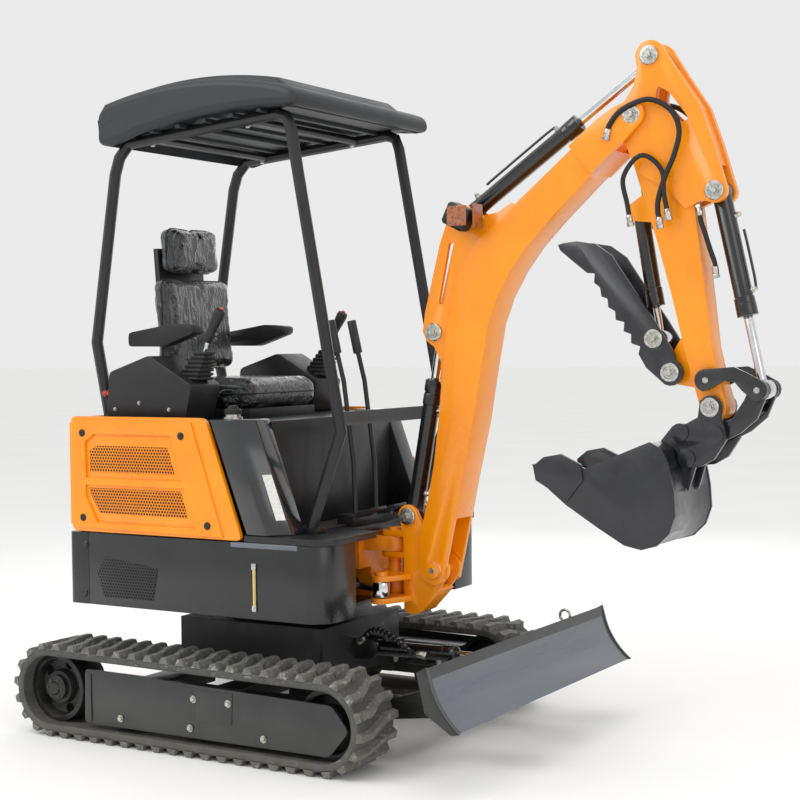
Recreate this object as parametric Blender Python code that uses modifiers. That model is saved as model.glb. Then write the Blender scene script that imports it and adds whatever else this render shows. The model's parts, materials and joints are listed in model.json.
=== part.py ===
# Mini excavator with a swing boom, four-post canopy, thumb and dozer blade.
# Metres, +Z up, +X forward, +Y to the operator's left.  The slew axis is the design's
# own X zero; MACHINE_SHIFT then moves the whole machine so that the origin is under the
# middle of its box.  Links (boom, arm, thumb) are drawn lying along their own +X and are
# turned to their resting angle.
import math

import bmesh
import bpy
from mathutils import Matrix, Vector

# ---- overall -----------------------------------------------------------------------
MACHINE_SHIFT = -0.4828
SEAT_GAP = 0.0003          # between touching pieces
PIN_RADIUS = 0.0195
BORE_RADIUS = 0.0200
PIN_SIDES = 24
HEAD_RADIUS = 0.026
HEAD_THICKNESS = 0.009

# ---- tracks ------------------------------------------------------------------------
TRACK_GAUGE = 0.974        # between the middles of the two tracks
TRACK_WIDTH = 0.204
WHEELBASE = 1.040          # sprocket centre to idler centre
SPROCKET_X = -0.535
REAR_LOOP_RADIUS = 0.149   # over the shoes
FRONT_LOOP_RADIUS = 0.145
SHOE_HEIGHT = 0.018
BELT_THICKNESS = 0.022
SHOE_COUNT = 42
WHEEL_WIDTH = 0.110
ROLLER_RADIUS = 0.044
ROLLER_COUNT = 3
BEAM_WIDTH = 0.090
GUARD_THICKNESS = 0.008
GUARD_INSET = 0.018        # behind the track's outer face

# ---- undercarriage centre and slew ring ----------------------------------------------
FRAME_LENGTH = 0.56
FRAME_WIDTH = 0.46
FRAME_BOTTOM = 0.185
FRAME_TOP = 0.352
RING_RADIUS = 0.200
RING_TOP = 0.4147

# ---- dozer blade ---------------------------------------------------------------------
BLADE_PIVOT = (0.345, 0.170)
BLADE_WIDTH = 1.196
BLADE_TOP = (0.862, 0.350)
BLADE_EDGE = (0.958, 0.180)
BLADE_HOLLOW = 0.020
BLADE_THICKNESS = 0.012
BLADE_ARM_Y = 0.290
BLADE_CYLINDER_BASE = (0.330, 0.262)
BLADE_LUG = (0.805, 0.268)

# ---- house -----------------------------------------------------------------------------
HOUSE_WIDTH = 0.960
HOUSE_REAR = -0.535
HOUSE_FRONT = 0.455
SKIRT_BOTTOM = 0.415
SKIRT_TOP = 0.645
SKIRT_WALL = 0.014
FRAME_PLATE = 0.013        # bottom plate of the house
FLOOR_THICKNESS = 0.020
PANEL_TOP = 1.018
PANEL_WALL = 0.016
DECK_THICKNESS = 0.015
CORNER_RADIUS = 0.070
REAR_CORNER = 0.022
NOTCH_HALF_WIDTH = 0.185
COVER_INNER = 0.345        # inner face of the slanted side covers
NOTCH_X = 0.345

DOOR_HINGE = (0.0100, 0.0020)            # behind and inside the door's left edge
DOOR_HINGE_HEIGHTS = (0.750, 0.930)

# ---- swing post and bracket ----------------------------------------------------------
SWING_X = 0.410
SWING_PIN_RADIUS = 0.0225
SWING_BORE_RADIUS = 0.0230
KNUCKLE_RADIUS = 0.042
EAR_THICKNESS = 0.017
LOWER_KNUCKLE = (0.4500, 0.5000)
UPPER_KNUCKLE = (0.5820, 0.6300)
BRACKET_HALF = 0.044
BRACKET_PLATE = 0.014
SWING_CYLINDER_BASE = (0.030, 0.015)
SWING_LEVER = (0.435, -0.130)

# ---- boom ------------------------------------------------------------------------------
BOOM_FOOT = (0.582, 0.534)
BOOM_LENGTH = 1.508
BOOM_ANGLE = 63.55
BOOM_HALF = 0.060
FOOT_SLOT_HALF = 0.0450
BOOM_CYLINDER_BASE = (-0.0985, 0.163)     # from the foot pin
BOOM_CYLINDER_EYE = (0.661, 0.322)       # along the boom, off its chord
FLANGE_OUTER = 0.050
FLANGE_INNER = 0.036
ARM_CYLINDER_BASE = (1.008, 0.400)
TIP_PLATE = 0.013

# ---- arm -------------------------------------------------------------------------------
ARM_LENGTH = 0.8665
ARM_ANGLE = -74.6
ARM_HALF = 0.042
CHEEK_OUTER = 0.053
CHEEK_INNER = 0.030
ARM_CYLINDER_EYE = (-0.144, 0.092)
BUCKET_CYLINDER_BASE = (0.286, 0.172)
THUMB_CYLINDER_BASE = (0.265, -0.073)
ROCKER_PIVOT = (0.788, 0.006)
THUMB_PIVOT = (0.739, -0.090)

# ---- bucket linkage, from the bucket pin --------------------------------------------------
ROCKER_EYE = (0.133, 0.048)
LINK_PIN = (0.014, -0.076)
HITCH_OUTER = 0.066
HITCH_INNER = 0.052
HITCH_PINS = ((-0.088, -0.071), (-0.069, -0.145))
BUCKET_HALF = 0.150
BUCKET_WALL = 0.008
BUCKET_EAR_OUTER = 0.0465
BUCKET_EAR_INNER = 0.034

# ---- thumb -----------------------------------------------------------------------------
THUMB_LENGTH = 0.515
THUMB_ANGLE = 133.2
THUMB_OUTER = 0.060
THUMB_INNER = 0.048
THUMB_EYE = (0.1035, -0.030)

# ---- how far each cylinder still retracts from this pose -------------------------------------
BLADE_RETRACT = 0.012
SWING_RETRACT = 0.106
BOOM_RETRACT = 0.027
ARM_RETRACT = 0.249
BUCKET_RETRACT = 0.166
THUMB_RETRACT = 0.020

# ---- canopy, seat and controls -----------------------------------------------------------
POST_RADIUS = 0.019
POST_Y = 0.320
ROOF_HALF_WIDTH = 0.405
ROOF_REAR = -0.458
ROOF_FRONT = 0.325
ROOF_WALL = 0.020
RAIL_REAR = (-0.388, 1.897)
RAIL_FRONT = (0.205, 1.945)
SEAT_HALF = 0.205
SEAT_FRONT = 0.000
SEAT_DEPTH = 0.400
CONSOLE_WIDTH = 0.150
CONSOLE_INNER = 0.275


# ---- shared helpers ----------------------------------------------------------------------
def clear_scene():
    for old in list(bpy.data.objects):
        bpy.data.objects.remove(old, do_unlink=True)


def new_collection(name):
    collection = bpy.data.collections.new(name)
    bpy.context.scene.collection.children.link(collection)
    return collection


def material(name, colour, roughness, metallic=0.0):
    made = bpy.data.materials.new(name)
    made.use_nodes = True
    shader = made.node_tree.nodes["Principled BSDF"]
    shader.inputs["Base Color"].default_value = (*colour, 1.0)
    shader.inputs["Roughness"].default_value = roughness
    shader.inputs["Metallic"].default_value = metallic
    return made


def link_object(name, mesh, look=None):
    made = bpy.data.objects.new(name, mesh)
    parts.objects.link(made)
    if look:
        mesh.materials.append(look)
    return made


def box(name, low, high, look=None):
    """A block between two corners."""
    mesh = bpy.data.meshes.new(name)
    shape = bmesh.new()
    bmesh.ops.create_cube(shape, size=1.0)
    low, high = Vector(low), Vector(high)
    bmesh.ops.scale(shape, vec=high - low, verts=shape.verts)
    bmesh.ops.translate(shape, vec=(low + high) / 2, verts=shape.verts)
    shape.to_mesh(mesh)
    shape.free()
    return link_object(name, mesh, look)


def rod(name, start, end, radius, sides=24, look=None, end_radius=None):
    """A round bar, or a cone where end_radius is given, between two points."""
    mesh = bpy.data.meshes.new(name)
    shape = bmesh.new()
    start, end = Vector(start), Vector(end)
    span = end - start
    bmesh.ops.create_cone(shape, cap_ends=True, segments=sides, radius1=radius,
                          radius2=radius if end_radius is None else end_radius,
                          depth=span.length)
    turn = Vector((0, 0, 1)).rotation_difference(span).to_matrix().to_4x4()
    bmesh.ops.transform(shape, matrix=Matrix.Translation((start + end) / 2) @ turn,
                        verts=shape.verts)
    shape.to_mesh(mesh)
    shape.free()
    return link_object(name, mesh, look)


def cross_pin(name, place, half, radius, sides=PIN_SIDES, look=None):
    """A round bar along Y through the point (x, z)."""
    x, z = place
    return rod(name, (x, -half, z), (x, half, z), radius, sides, look)


def mesh_from_curve(name, curve_object, look=None):
    """Turns a curve object into a closed mesh object of the same place."""
    bpy.context.view_layer.update()
    graph = bpy.context.evaluated_depsgraph_get()
    mesh = bpy.data.meshes.new_from_object(curve_object.evaluated_get(graph))
    shape = bmesh.new()
    shape.from_mesh(mesh)
    bmesh.ops.transform(shape, matrix=curve_object.matrix_world, verts=shape.verts)
    bmesh.ops.remove_doubles(shape, verts=shape.verts, dist=0.00001)
    bmesh.ops.recalc_face_normals(shape, faces=shape.faces)
    shape.to_mesh(mesh)
    shape.free()
    mesh.materials.clear()
    bpy.data.objects.remove(curve_object, do_unlink=True)
    return link_object(name, mesh, look)


def outline_curve(outline, depth):
    curve = bpy.data.curves.new("outline", "CURVE")
    curve.dimensions = "2D"
    curve.fill_mode = "BOTH"
    curve.extrude = depth / 2
    spline = curve.splines.new("POLY")
    spline.points.add(len(outline) - 1)
    for point, (x, y) in zip(spline.points, outline):
        point.co = (x, y, 0, 1)
    spline.use_cyclic_u = True
    made = bpy.data.objects.new("outline", curve)
    parts.objects.link(made)
    return made


def plate(name, outline, y_low, y_high, look=None):
    """A flat plate: an outline of (x, z) points, from y_low to y_high."""
    made = outline_curve(outline, y_high - y_low)
    made.rotation_euler = (math.pi / 2, 0, 0)
    made.location = (0, (y_low + y_high) / 2, 0)
    return mesh_from_curve(name, made, look)


def slab(name, outline, z_low, z_high, look=None):
    """A level plate: an outline of (x, y) points, from z_low to z_high."""
    made = outline_curve(outline, z_high - z_low)
    made.location = (0, 0, (z_low + z_high) / 2)
    return mesh_from_curve(name, made, look)


def tube(name, path, radius, look=None, resolution=2):
    """A round tube through a list of (x, y, z) points."""
    curve = bpy.data.curves.new(name, "CURVE")
    curve.dimensions = "3D"
    curve.bevel_depth = radius
    curve.bevel_resolution = resolution
    curve.use_fill_caps = True
    spline = curve.splines.new("POLY")
    spline.points.add(len(path) - 1)
    for point, place in zip(spline.points, path):
        point.co = (*place, 1)
    made = bpy.data.objects.new(name, curve)
    parts.objects.link(made)
    return mesh_from_curve(name, made, look)


def combine(base, tool, operation):
    """Booleans tool into base; the tool stays in the cutters collection."""
    step = base.modifiers.new(operation.lower(), "BOOLEAN")
    step.operation = operation
    step.solver = "EXACT"
    step.object = tool
    if tool.name in parts.objects:
        parts.objects.unlink(tool)
        cutters.objects.link(tool)
    tool.hide_render = True
    tool.display_type = "WIRE"


def join(base, *tools):
    for tool in tools:
        combine(base, tool, "UNION")
    return base


def cut(base, *tools):
    for tool in tools:
        combine(base, tool, "DIFFERENCE")
    return base


def soften(piece, width, angle=40.0, segments=1):
    """Rounds the edges that are sharper than the angle."""
    step = piece.modifiers.new("edges", "BEVEL")
    step.width = width
    step.segments = segments
    step.limit_method = "ANGLE"
    step.angle_limit = math.radians(angle)
    return piece


def slice_off(piece, point, normal):
    """Cuts away what lies on the normal's side of a plane and closes the cut."""
    shape = bmesh.new()
    shape.from_mesh(piece.data)
    geometry = shape.verts[:] + shape.edges[:] + shape.faces[:]
    found = bmesh.ops.bisect_plane(shape, geom=geometry, plane_co=point, plane_no=normal,
                                   clear_outer=True)
    rim = [item for item in found["geom_cut"] if isinstance(item, bmesh.types.BMEdge)]
    bmesh.ops.holes_fill(shape, edges=rim, sides=0)
    shape.to_mesh(piece.data)
    shape.free()
    return piece


def arc(centre, radius, start, end, steps):
    """Points on an arc, from start to end degrees."""
    cx, cy = centre
    return [(cx + radius * math.cos(math.radians(start + (end - start) * i / steps)),
             cy + radius * math.sin(math.radians(start + (end - start) * i / steps)))
            for i in range(steps + 1)]


def on_link(pivot, angle, place):
    """The (x, z) of a point given along a link and off it."""
    turn = math.radians(angle)
    x, z = place
    return (pivot[0] + x * math.cos(turn) - z * math.sin(turn),
            pivot[1] + x * math.sin(turn) + z * math.cos(turn))


def rounded(outline, radius, steps=4):
    """Rounds each corner of an outline of (x, y) points."""
    corners = [Vector(point) for point in outline]
    made = []
    for index, corner in enumerate(corners):
        before = corners[index - 1]
        after = corners[(index + 1) % len(corners)]
        back, ahead = (before - corner), (after - corner)
        reach = min(radius, back.length * 0.45, ahead.length * 0.45)
        start = corner + back.normalized() * reach
        end = corner + ahead.normalized() * reach
        for step in range(steps + 1):
            t = step / steps
            made.append(tuple(start * (1 - t) ** 2 + corner * 2 * t * (1 - t)
                              + end * t ** 2))
    return made


def settle(piece, pivot, angle=0.0, parent=None):
    """Puts a piece drawn at its own zero at (x, z), turned up by angle degrees."""
    x, z = pivot
    return settle_3d(piece, Matrix.Translation((x, 0, z))
                     @ Matrix.Rotation(-math.radians(angle), 4, "Y"), parent)


def settle_3d(piece, matrix, parent=None):
    piece.matrix_world = matrix
    for step in piece.modifiers:
        if step.type == "BOOLEAN":
            step.object.matrix_world = matrix @ step.object.matrix_world
    hang(piece, parent)
    return piece


def hang(piece, parent=None):
    """Parents a piece without moving it."""
    parent = parent or machine
    bpy.context.view_layer.update()
    piece.parent = parent
    piece.matrix_parent_inverse = parent.matrix_world.inverted()


def recentre(piece, point):
    """Moves a piece's origin to a point and leaves its shape where it is."""
    point = Vector(point)
    piece.data.transform(Matrix.Translation(-point))
    piece.matrix_world = Matrix.Translation(point)
    return piece


def pin_with_heads(name, place, y_faces, radius=PIN_RADIUS, head=HEAD_RADIUS):
    """A pin through (x, z) with a head outside each of the two faces at +-y_faces."""
    reach = y_faces + SEAT_GAP
    pin = cross_pin(name, place, reach + HEAD_THICKNESS, radius)
    x, z = place
    for side in (-1, 1):
        cap = rod(name + "_head", (x, side * reach, z),
                  (x, side * (reach + HEAD_THICKNESS), z), head, 20)
        join(pin, cap)
    return pin


def add_pin(base, place, y_faces):
    """A pin that belongs to base and runs through its neighbour's bores."""
    x, z = place
    reach = y_faces + SEAT_GAP
    join(base, cross_pin("pin", place, reach + HEAD_THICKNESS / 2, PIN_RADIUS))
    for side in (-1, 1):
        join(base, rod("pin_head", (x, side * reach, z),
                       (x, side * (reach + HEAD_THICKNESS), z), HEAD_RADIUS, 14))


def add_outer_heads(base, place, y_face):
    """The heads of a pin that ends inside the ears of base."""
    x, z = place
    for side in (-1, 1):
        join(base, rod("pin_head", (x, side * (y_face - 0.004), z),
                       (x, side * (y_face + HEAD_THICKNESS), z), HEAD_RADIUS, 14))


def add_bore(base, place, half, radius=BORE_RADIUS):
    cut(base, cross_pin("bore", place, half + 0.01, radius))


# ---- hydraulic cylinders -------------------------------------------------------------------
def cylinder_matrix(start, end, pin_axis):
    along = (Vector(end) - Vector(start)).normalized()
    across = Vector(pin_axis)
    return Matrix((along, across, along.cross(across))).transposed().to_4x4()


def cylinder_pair(name, start, end, barrel, rod_radius, barrel_radius, eye_half,
                  pin_axis=(0, 1, 0), base_parent=None, bore=BORE_RADIUS, eye=0.032,
                  retract=0.02):
    """Barrel and rod of a cylinder between two pins; both eyes are bored.

    The rod ends short of the barrel's tail by what the cylinder still retracts."""
    start, end = Vector(start), Vector(end)
    span = (end - start).length
    turn = cylinder_matrix(start, end, pin_axis)
    tail = barrel_radius + 0.020

    case = rod(name + "_cylinder_barrel", (eye * 0.6, 0, 0), (barrel, 0, 0), barrel_radius)
    join(case, rod("gland", (barrel - 0.022, 0, 0), (barrel + 0.014, 0, 0),
                   barrel_radius + 0.003))
    join(case, cross_pin("eye", (0, 0), eye_half, eye, 28))
    cut(case, rod("rod_bore", (tail, 0, 0), (barrel + 0.05, 0, 0),
                  rod_radius + 0.0006))
    add_bore(case, (0, 0), eye_half, bore)
    case.data.materials.append(black_paint)

    reach = span - tail - retract - 0.012
    shaft = rod(name + "_cylinder_rod", (-reach, 0, 0), (-eye * 0.6, 0, 0), rod_radius)
    join(shaft, cross_pin("eye", (0, 0), eye_half, eye, 28))
    add_bore(shaft, (0, 0), eye_half, bore)
    shaft.data.materials.append(chrome)

    settle_3d(case, Matrix.Translation(start) @ turn, base_parent)
    settle_3d(shaft, Matrix.Translation(end) @ turn, case)
    return case, shaft


# ---- undercarriage -------------------------------------------------------------------------
def loop_path(rear_radius, front_radius, steps):
    """A closed loop of (x, z) round sprocket and idler, both standing on z = 0."""
    rear_z, front_z = REAR_LOOP_RADIUS, FRONT_LOOP_RADIUS
    idler_x = SPROCKET_X + WHEELBASE
    slope = math.degrees(math.atan2(front_z - rear_z, WHEELBASE))
    lean = math.degrees(math.asin((rear_radius - front_radius)
                                  / math.hypot(WHEELBASE, front_z - rear_z)))
    top, bottom = 90 + slope + lean, -90 + slope - lean
    points = arc((idler_x, front_z), front_radius, bottom, top, steps)
    points += arc((SPROCKET_X, rear_z), rear_radius, top, 360 + bottom, steps)
    return points


def resample(points, count):
    """Evenly spaced points, with their outward normals, on a closed path."""
    corners = [Vector(p) for p in points]
    lengths = [(corners[(i + 1) % len(corners)] - corners[i]).length
               for i in range(len(corners))]
    total = sum(lengths)
    made, index, run = [], 0, 0.0
    for step in range(count):
        target = total * step / count
        while run + lengths[index] < target:
            run += lengths[index]
            index += 1
        a, b = corners[index], corners[(index + 1) % len(corners)]
        ahead = (b - a).normalized()
        made.append((a + ahead * (target - run), Vector((ahead.y, -ahead.x))))
    return made


def build_track(side, name):
    """The rubber loop, with its shoes in the outline."""
    root = loop_path(REAR_LOOP_RADIUS - SHOE_HEIGHT, FRONT_LOOP_RADIUS - SHOE_HEIGHT, 20)
    outline = []
    for index, (point, normal) in enumerate(resample(root, SHOE_COUNT * 4)):
        lift = SHOE_HEIGHT if index % 4 in (1, 2) else 0.0
        outline.append(tuple(point + normal * lift))
    inner_depth = SHOE_HEIGHT + BELT_THICKNESS
    inner = loop_path(REAR_LOOP_RADIUS - inner_depth, FRONT_LOOP_RADIUS - inner_depth, 24)
    middle = side * TRACK_GAUGE / 2
    low, high = middle - TRACK_WIDTH / 2, middle + TRACK_WIDTH / 2
    track = plate(name, outline, low, high, rubber)
    cut(track, plate("loop_inside", inner, low - 0.01, high + 0.01))
    hang(track)


def build_wheel(name, x, z, radius, side, look, holes):
    """Sprocket or idler: a turned disc with a hub, on the beam's axle."""
    middle = side * TRACK_GAUGE / 2
    half = WHEEL_WIDTH / 2
    rim = radius - 3 * SEAT_GAP
    profile = [(0.024, half * 0.9), (0.052, half * 0.9), (0.056, half * 0.45),
               (rim - 0.022, half * 0.45), (rim - 0.016, half), (rim, half),
               (rim, -half), (rim - 0.016, -half), (rim - 0.022, -half * 0.45),
               (0.056, -half * 0.45), (0.052, -half), (0.024, -half)]
    mesh = bpy.data.meshes.new(name)
    shape = bmesh.new()
    ring = [shape.verts.new((r, 0, h)) for r, h in profile]
    for a, b in zip(ring, ring[1:] + ring[:1]):
        shape.edges.new((a, b))
    shape.to_mesh(mesh)
    shape.free()
    wheel = link_object(name, mesh, look)
    turned = wheel.modifiers.new("turn", "SCREW")
    turned.steps = turned.render_steps = 24
    turned.use_merge_vertices = True
    turned.merge_threshold = 0.00001
    wheel.rotation_euler = (math.pi / 2, 0, 0)
    wheel.location = (x, middle, z)
    bpy.context.view_layer.update()
    for index in range(holes):
        angle = math.tau * index / holes
        mid = (radius + 0.056) / 2 - 0.008
        hx, hz = x + mid * math.cos(angle), z + mid * math.sin(angle)
        cut(wheel, rod("hole", (hx, middle - half, hz), (hx, middle + half, hz), 0.017, 10))
    hang(wheel)


def build_track_frame(side, name):
    """Beam, axles, bottom rollers and outer guard plate of one side, as one weldment."""
    middle = side * TRACK_GAUGE / 2
    idler_x = SPROCKET_X + WHEELBASE
    rear_z, front_z = REAR_LOOP_RADIUS, FRONT_LOOP_RADIUS
    inner = SHOE_HEIGHT + BELT_THICKNESS
    rear_gap = REAR_LOOP_RADIUS - inner + 0.012
    front_gap = FRONT_LOOP_RADIUS - inner + 0.012
    x0, x1 = SPROCKET_X + rear_gap, idler_x - front_gap
    half = BEAM_WIDTH / 2
    roller_z = inner + SEAT_GAP + ROLLER_RADIUS
    beam = box(name, (x0, middle - half, roller_z + 0.012),
               (x1, middle + half, rear_z + 0.045), dark_paint)
    face = side * (TRACK_GAUGE / 2 + TRACK_WIDTH / 2 - GUARD_INSET)
    low, high = sorted((face, face - side * GUARD_THICKNESS))
    nose = idler_x + 0.089
    guard = [(SPROCKET_X + 0.143, rear_z + 0.079), (idler_x + 0.031, front_z + 0.063),
             (nose, front_z - 0.006), (idler_x + 0.020, 0.058),
             (SPROCKET_X + 0.139, 0.056)]
    join(beam, plate("guard", rounded(guard, 0.014, 2), low, high))
    spacer = sorted((middle, face - side * GUARD_THICKNESS / 2))
    for x in (x0 + 0.06, (x0 + x1) / 2, x1 - 0.06):
        join(beam, box("spacer", (x - 0.02, spacer[0], roller_z + 0.03),
                       (x + 0.02, spacer[1], rear_z + 0.02)))
    for x, z in ((SPROCKET_X, rear_z), (idler_x, front_z)):
        toward = 1 if x < 0 else -1
        inward = side * (TRACK_GAUGE / 2 - WHEEL_WIDTH / 2 - 0.012)
        arm_low, arm_high = sorted((inward, inward - side * 0.016))
        end = x0 + 0.052 if x < 0 else x1 - 0.052
        arm_x = sorted((x - toward * 0.03, end))
        join(beam, box("wheel_arm", (arm_x[0], arm_low, z - 0.032),
                       (arm_x[1], arm_high, z + 0.032)))
        reach = sorted((inward - side * 0.008, middle + side * (WHEEL_WIDTH / 2 + 0.006)))
        join(beam, rod("axle", (x, reach[0], z), (x, reach[1], z), 0.0236))
        web = sorted((inward - side * 0.013, middle - side * 0.004))
        web_x = sorted((end - toward * 0.031, end - toward * 0.007))
        join(beam, box("web", (web_x[0], web[0], z - 0.027), (web_x[1], web[1], z + 0.027)))
    for index in range(ROLLER_COUNT):
        x = x0 + (x1 - x0) * (index + 0.5) / ROLLER_COUNT
        join(beam, rod("roller", (x, middle - 0.042, roller_z),
                       (x, middle + 0.042, roller_z), ROLLER_RADIUS, 20))
    foot = sorted((side * (FRAME_WIDTH / 2 + SEAT_GAP), middle))
    for x in (-0.19, 0.10):
        join(beam, box("cross_tube", (x - 0.05, foot[0], 0.150), (x + 0.05, foot[1], 0.200)))
    hang(beam)


def build_undercarriage():
    frame = box("undercarriage_frame", (-FRAME_LENGTH / 2, -FRAME_WIDTH / 2, FRAME_BOTTOM),
                (FRAME_LENGTH / 2, FRAME_WIDTH / 2, FRAME_TOP), black_paint)
    base_x, base_z = BLADE_CYLINDER_BASE
    front = FRAME_LENGTH / 2
    for side in (-1, 1):
        low, high = sorted((side * 0.030, side * 0.044))
        lug = [(front - 0.03, base_z - 0.035), (base_x, base_z - 0.030),
               *arc((base_x, base_z), 0.030, -80, 80, 6),
               (base_x, base_z + 0.030), (front - 0.03, base_z + 0.035)]
        join(frame, plate("cylinder_lug", lug, low, high))
        pivot_x, pivot_z = BLADE_PIVOT
        inner, outer = BLADE_ARM_Y - 0.045, BLADE_ARM_Y - 0.0305
        ear = [(front - 0.10, pivot_z - 0.035), *arc((pivot_x, pivot_z), 0.035, -90, 90, 8),
               (front - 0.10, pivot_z + 0.045)]
        y0, y1 = sorted((side * inner, side * outer))
        join(frame, plate("blade_ear", ear, y0, y1))
        side_low, side_high = sorted((side * (FRAME_WIDTH / 2 - 0.02), side * outer))
        join(frame, box("ear_block", (front - 0.11, side_low, pivot_z - 0.030),
                        (front - 0.02, side_high, pivot_z + 0.045)))
        reach = sorted((side * (inner + 0.004), side * (BLADE_ARM_Y + 0.030)))
        join(frame, rod("blade_pin", (pivot_x, reach[0], pivot_z),
                        (pivot_x, reach[1], pivot_z), PIN_RADIUS, PIN_SIDES))
    add_cross_bore_pin(frame, BLADE_CYLINDER_BASE, 0.037)
    hang(frame)
    ring = rod("slew_ring", (0, 0, FRAME_TOP + SEAT_GAP), (0, 0, RING_TOP - SEAT_GAP),
               RING_RADIUS, 40, black_paint)
    hang(ring)
    for side, name in ((-1, "right"), (1, "left")):
        build_track(side, "track_" + name)
        depth = SHOE_HEIGHT + BELT_THICKNESS
        build_wheel("sprocket_" + name, SPROCKET_X, REAR_LOOP_RADIUS,
                    REAR_LOOP_RADIUS - depth, side, black_paint, 5)
        build_wheel("idler_" + name, SPROCKET_X + WHEELBASE, FRONT_LOOP_RADIUS,
                    FRONT_LOOP_RADIUS - depth, side, dark_paint, 0)
        build_track_frame(side, "track_frame_" + name)


def add_cross_bore_pin(base, place, half):
    """A pin between two ears, which the bored eye of a cylinder rides on."""
    join(base, cross_pin("pin", place, half, PIN_RADIUS))


def build_blade():
    """Mouldboard, side plates and push arms, one weldment on the blade pivot."""
    top, edge = Vector(BLADE_TOP), Vector(BLADE_EDGE)
    chord = edge - top
    inward = Vector((chord.y, -chord.x)).normalized()

    def board(t, depth):
        """A point down the mouldboard's curve, set back by depth."""
        sag = 4 * BLADE_HOLLOW * t * (1 - t)
        return tuple(top + chord * t + inward * (sag + depth))

    steps = [step / 8 for step in range(9)]
    face = [board(t, 0.0) for t in steps]
    back = [board(t, BLADE_THICKNESS) for t in steps]
    half = BLADE_WIDTH / 2
    blade = plate("dozer_blade", face + back[::-1], -half + 0.005, half - 0.005, dark_paint)
    middle = BLADE_THICKNESS / 2
    px, pz = BLADE_PIVOT
    lug_x, lug_z = BLADE_LUG
    for side in (-1, 1):
        y0, y1 = sorted((side * (half - 0.010), side * half))
        cheek = [(top.x - 0.029, top.y - 0.013), (top.x, top.y + 0.003)]
        cheek += [board(t, -0.003) for t in steps[1:-1]]
        cheek += [(edge.x + 0.006, edge.y - 0.001), (edge.x - 0.018, edge.y - 0.005),
                  (top.x - 0.004, top.y - 0.123)]
        join(blade, plate("blade_cheek", cheek, y0, y1))
        a0, a1 = sorted((side * (BLADE_ARM_Y - 0.0300), side * (BLADE_ARM_Y + 0.0300)))
        arm = [*arc((px, pz), 0.034, 90, 270, 8), (px + 0.24, 0.124), (edge.x - 0.053, 0.166),
               board(0.85, middle), board(0.35, middle), (px + 0.24, 0.184)]
        push = plate("push_arm", arm, a0, a1)
        join(blade, push)
        bore = rod("bore", (px, a0 - 0.01, pz), (px, a1 + 0.01, pz), BORE_RADIUS, PIN_SIDES)
        cut(blade, bore)
        l0, l1 = sorted((side * 0.030, side * 0.042))
        lug = [*arc((lug_x, lug_z), 0.028, 90, 270, 8), board(0.70, middle),
               board(0.20, middle)]
        join(blade, plate("blade_lug", lug, l0, l1))
    join(blade, box("cross_bar", (0.560, -BLADE_ARM_Y, 0.135), (0.620, BLADE_ARM_Y, 0.165)))
    x, z = BLADE_LUG
    for side in (-1, 1):
        join(blade, rod("pin_head", (x, side * 0.036, z), (x, side * 0.050, z), 0.022, 16))
    recentre_all(blade, (BLADE_PIVOT[0], 0, BLADE_PIVOT[1]))
    hang(blade)
    cylinder_pair("blade", (BLADE_CYLINDER_BASE[0], 0, BLADE_CYLINDER_BASE[1]),
                  (BLADE_LUG[0], 0, BLADE_LUG[1]), 0.285, 0.012, 0.024, 0.0245,
                  eye=0.027, retract=BLADE_RETRACT)


def recentre_all(piece, point):
    """Moves the origin of a piece whose boolean tools are placed in the same frame."""
    recentre(piece, point)


# ---- house -----------------------------------------------------------------------------------
def skirt_outline(side):
    """Plan of one side skirt: along the side, round the front corner and inward."""
    half = HOUSE_WIDTH / 2
    rear = HOUSE_REAR + 0.085
    cx, cy = HOUSE_FRONT - CORNER_RADIUS, half - CORNER_RADIUS
    outer = [(rear, half), *arc((cx, cy), CORNER_RADIUS, 90, 0, 6),
             (HOUSE_FRONT, NOTCH_HALF_WIDTH + 0.12)]
    inner_radius = CORNER_RADIUS - SKIRT_WALL
    inner = [(HOUSE_FRONT - SKIRT_WALL, NOTCH_HALF_WIDTH + 0.12),
             *arc((cx, cy), inner_radius, 0, 90, 6), (rear, half - SKIRT_WALL)]
    return [(x, side * y) for x, y in outer + inner]


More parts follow.
